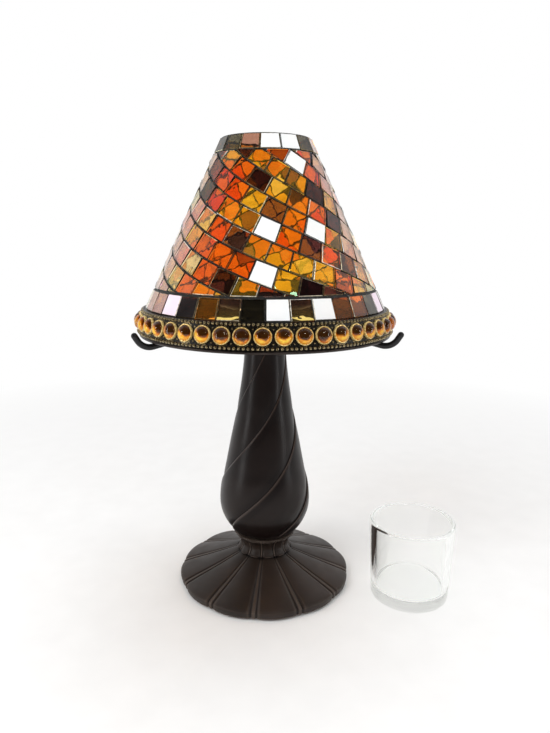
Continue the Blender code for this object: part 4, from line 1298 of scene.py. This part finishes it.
def make_trim(dark, brass, gold, foil):
    """The strip with its two rows of beads, a bezel for each stone and scrolls of wire between them."""
    strip = Shape()
    levels = (TRIM_BASE, TRIM_BASE + BEAD_ROW, TRIM_TOP - BEAD_ROW, TRIM_TOP)
    outline = [(trim_radius(level), level) for level in levels]
    outline += [(trim_radius(level) - STRIP_THICKNESS, level) for level in (TRIM_TOP, TRIM_BASE)]
    strip.turned(outline, SHADE_SEGMENTS, looped=True)
    for level in (TRIM_BASE + BEAD_ROW / 2, TRIM_TOP - BEAD_ROW / 2):
        for i in range(BEADS):
            angle = i * TURN / BEADS
            across = around(1, angle + QUARTER, 0)
            out = around(math.cos(TRIM_LEAN), angle, math.sin(TRIM_LEAN))
            centre = around(trim_radius(level), angle, level)
            ball(strip, centre, BEAD_RADIUS, out, across, out.cross(across))
    rings = Shape()
    backs = Shape()
    for i in range(CABOCHONS):
        place = bezel_frame(i * TURN / CABOCHONS)
        half = BEZEL_WALL * BEZEL_ROUND_SHARE
        middle = BEZEL_RADIUS - BEZEL_WALL / 2
        profile = [(middle - half, 0), (middle - half, BEZEL_HEIGHT - half)]
        profile += arc((middle, BEZEL_HEIGHT - half), half, math.pi, 0, BEZEL_STEPS)[1:]
        profile += [(middle + half, 0)]
        rings.skin(bezel_rings(place, profile), looped=True, kinds=(0, 0, 1, 0))
        backs.skin(bezel_rings(place, [(middle, -GAP), (middle, GAP * FOIL_TOP_SHARE)]))
        scroll_wires(strip, place, middle)
    build("beaded_strip", strip, [dark, brass], "shade", ["trim_strip"])
    build("gold_bezels", rings, [gold, dark], "shade", ["trim_strip"])
    build("foil_backs", backs, [foil], "shade", ["trim_strip"])


def scroll_wires(shape, place, middle):
    """A wire arc over and under the bezel, and a grain in each corner between two of them."""
    for side in (1, -1):
        places = []
        for i in range(SCROLL_STEPS + 1):
            angle = side * (QUARTER + SCROLL_SPREAD * (2 * i / SCROLL_STEPS - 1))
            reach = middle + SCROLL_CLEARANCE + SCROLL_WAVE * math.cos(i * QUARTER)
            places.append((reach * math.cos(angle), reach * math.sin(angle)))
        wire(shape, places, WIRE_RADIUS, place)
        step = TURN * SEAT_RADIUS / CABOCHONS / 2
        corner = place @ Vector((step, side * (middle - GRAIN_INSET), 0))
        out = (place.to_3x3() @ Vector((0, 0, 1))).normalized()
        across = (place.to_3x3() @ Vector((1, 0, 0))).normalized()
        ball(shape, corner, GRAIN_RADIUS, out, across, out.cross(across))


def make_stones(glass, base_glass):
    """One fine dome, shared by every stone."""
    shape = Shape()
    base = GAP
    edge = base + CABOCHON_GIRDLE
    outline = [
        (STONE_RADIUS * CABOCHON_FOOT_SHARE, base),
        (STONE_RADIUS, base + CABOCHON_CHAMFER),
        (STONE_RADIUS, edge),
    ]
    for i in range(1, DOME_STEPS):
        angle = QUARTER * i / DOME_STEPS
        outline.append((STONE_RADIUS * math.cos(angle), edge + CABOCHON_DOME * math.sin(angle)))
    shape.turned(outline, STONE_SIDES)
    shape.kinds[0] = 1
    mesh = mesh_of("amber_cabochon", shape, [glass, base_glass])
    for i in range(CABOCHONS):
        place = bezel_frame(i * TURN / CABOCHONS)
        link(f"stone_{i + 1:02d}", mesh, "shade", [f"cabochon_{i + 1:02d}"], place)


def make_cup(glass):
    """A thick-based tumbler with a fire-polished lip."""
    height = CUP_HIGH.z
    lip = CUP_WALL / 2
    inner = (CUP_BOTTOM_RADIUS - CUP_WALL - CUP_CORNER, CUP_BASE + CUP_CORNER)
    outline = [
        (CUP_BOTTOM_RADIUS - CUP_CORNER, 0),
        *arc((CUP_BOTTOM_RADIUS - CUP_CORNER, CUP_CORNER), CUP_CORNER, -QUARTER, 0, CUP_CORNER_STEPS)[1:],
        *arc((CUP_TOP_RADIUS - lip, height - lip), lip, 0, math.pi, CUP_LIP_STEPS),
        *arc(inner, CUP_CORNER, 0, -QUARTER, CUP_CORNER_STEPS),
    ]
    shape = Shape()
    shape.turned(outline, CUP_SEGMENTS)
    centre = (CUP_LOW + CUP_HIGH) / 2
    shape.points = [point + Vector((centre.x, centre.y, 0)) for point in shape.points]
    build("glass_cup", shape, [glass], "cup", ["candle_cup"])


def make_camera():
    data = bpy.data.cameras.new("camera")
    data.sensor_fit = "VERTICAL"
    data.sensor_height = SENSOR_HEIGHT
    data.lens = CAMERA_LENS
    data.clip_start = CAMERA_CLIP
    camera = added("camera", data)
    camera.location = CAMERA_PLACE
    camera.rotation_mode = "ZYX"
    camera.rotation_euler = (CAMERA_TILT, 0, CAMERA_ROLL)
    bpy.context.scene.camera = camera


def make_floor():
    """A pale table that fades to the white background."""
    made = Finish("pale_floor", {"Roughness": 0.8, "Specular IOR Level": 0.2})
    made.set("Base Color", made.ramp(made.noise(40, 4), FLOOR_STOPS))
    rays = made.node("ShaderNodeLightPath").outputs
    seen = made.maths("MAXIMUM", rays["Is Camera Ray"], rays["Is Glossy Ray"])
    seen = made.maths("MAXIMUM", seen, rays["Is Transmission Ray"])
    distance = made.node("ShaderNodeVectorMath", {0: made.place}, operation="LENGTH").outputs["Value"]
    faded = made.spread(distance, 0.0, 1.0, FADE_START, FADE_STOP)
    light = made.node("ShaderNodeEmission", {"Color": (1, 1, 1, 1), "Strength": 1.0})
    made.give_way(made.maths("MULTIPLY", seen, faded), light)
    shape = Shape()
    shape.turned([(FLOOR_RADIUS, -FLOOR_THICKNESS), (FLOOR_RADIUS, 0)], FLOOR_SEGMENTS)
    added("floor", mesh_of("floor", shape, [made.material]))


def make_world():
    """White behind the object; in reflections it is white behind and grey in front."""
    world = bpy.data.worlds.new("studio")
    world.use_nodes = True
    bpy.context.scene.world = world
    world.node_tree.nodes.clear()
    made = Nodes(world.node_tree)
    rays = made.node("ShaderNodeLightPath").outputs
    direction = made.node("ShaderNodeTexCoord").outputs["Generated"]
    axes = made.node("ShaderNodeSeparateXYZ", {0: direction}).outputs
    inputs = {"Value": axes["Y"], **ROOM_SPREAD}
    room = made.node("ShaderNodeMapRange", inputs, interpolation_type="SMOOTHSTEP").outputs["Result"]
    strength = ROOM_LIGHT
    for ray, seen in (("Is Glossy Ray", room), ("Is Transmission Ray", 1.0), ("Is Camera Ray", 1.0)):
        strength = made.node("ShaderNodeMix", {0: rays[ray], 2: strength, 3: seen}).outputs[0]
    light = made.node("ShaderNodeBackground", {"Color": (1, 1, 1, 1), "Strength": strength})
    made.node("ShaderNodeOutputWorld", {"Surface": light.outputs[0]})


def make_lamps():
    for name, (place, size, watts, glossy) in LAMPS.items():
        data = bpy.data.lights.new(name, "AREA")
        data.shape = "RECTANGLE"
        data.size, data.size_y = size
        data.energy = watts
        lamp = added(name, data)
        lamp.location = place
        lamp.rotation_euler = (Vector(place) - LAMP_TARGET).to_track_quat("Z", "Y").to_euler()
        lamp.visible_camera = False
        lamp.visible_transmission = False
        lamp.visible_glossy = glossy


def main():
    iron = grained("black_iron")
    steel = grained("zinc_steel")
    make_camera()
    make_world()
    make_lamps()
    make_floor()
    make_foot(cast_bronze("foot_bronze", 0.32, FOOT_SHADES, (0.42, 0.54)))
    make_column(cast_bronze("column_bronze", 0.20, COLUMN_SHADES, (0.28, 0.37)))
    make_hub(iron)
    make_dish(iron)
    make_arms(iron)
    cone = clear_glass("clear_cone", 1.2, 30, (0.985, 0.99, 0.985), 60, RELIEF["cone"], 0.1)
    make_shade_glass(cone.material)
    glasses = {kind: silver_tile(kind) if kind in SILVERED_PAINTED_REFLECTION else tile_glass(kind) for kind in TILES}
    dull = cut_edge("dull_edge", DULL_EDGE, 0.4)
    bright = cut_edge("painted_glint_edge", PAINTED_GLINT_EDGE, 0.0)
    make_mosaic(glasses, dull, grained("dark_silvering"), bright, black_grout())
    make_channel(grained("rim_bronze"))
    make_trim(grained("dark_strip"), grained("rubbed_brass"), grained("bezel_gold"), painted_light_foil())
    make_stones(amber_stone("amber_stone", 1.5), amber_stone("stone_base", 1.0))
    make_cup(cup_glass())
    felt = black_felt()
    for name, made in (("foot_felt", felt), ("tie_rod", steel), ("rod_nut", steel)):
        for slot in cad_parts[name].material_slots:
            slot.material = made
    bpy.context.scene.view_settings.view_transform = "Standard"


main()
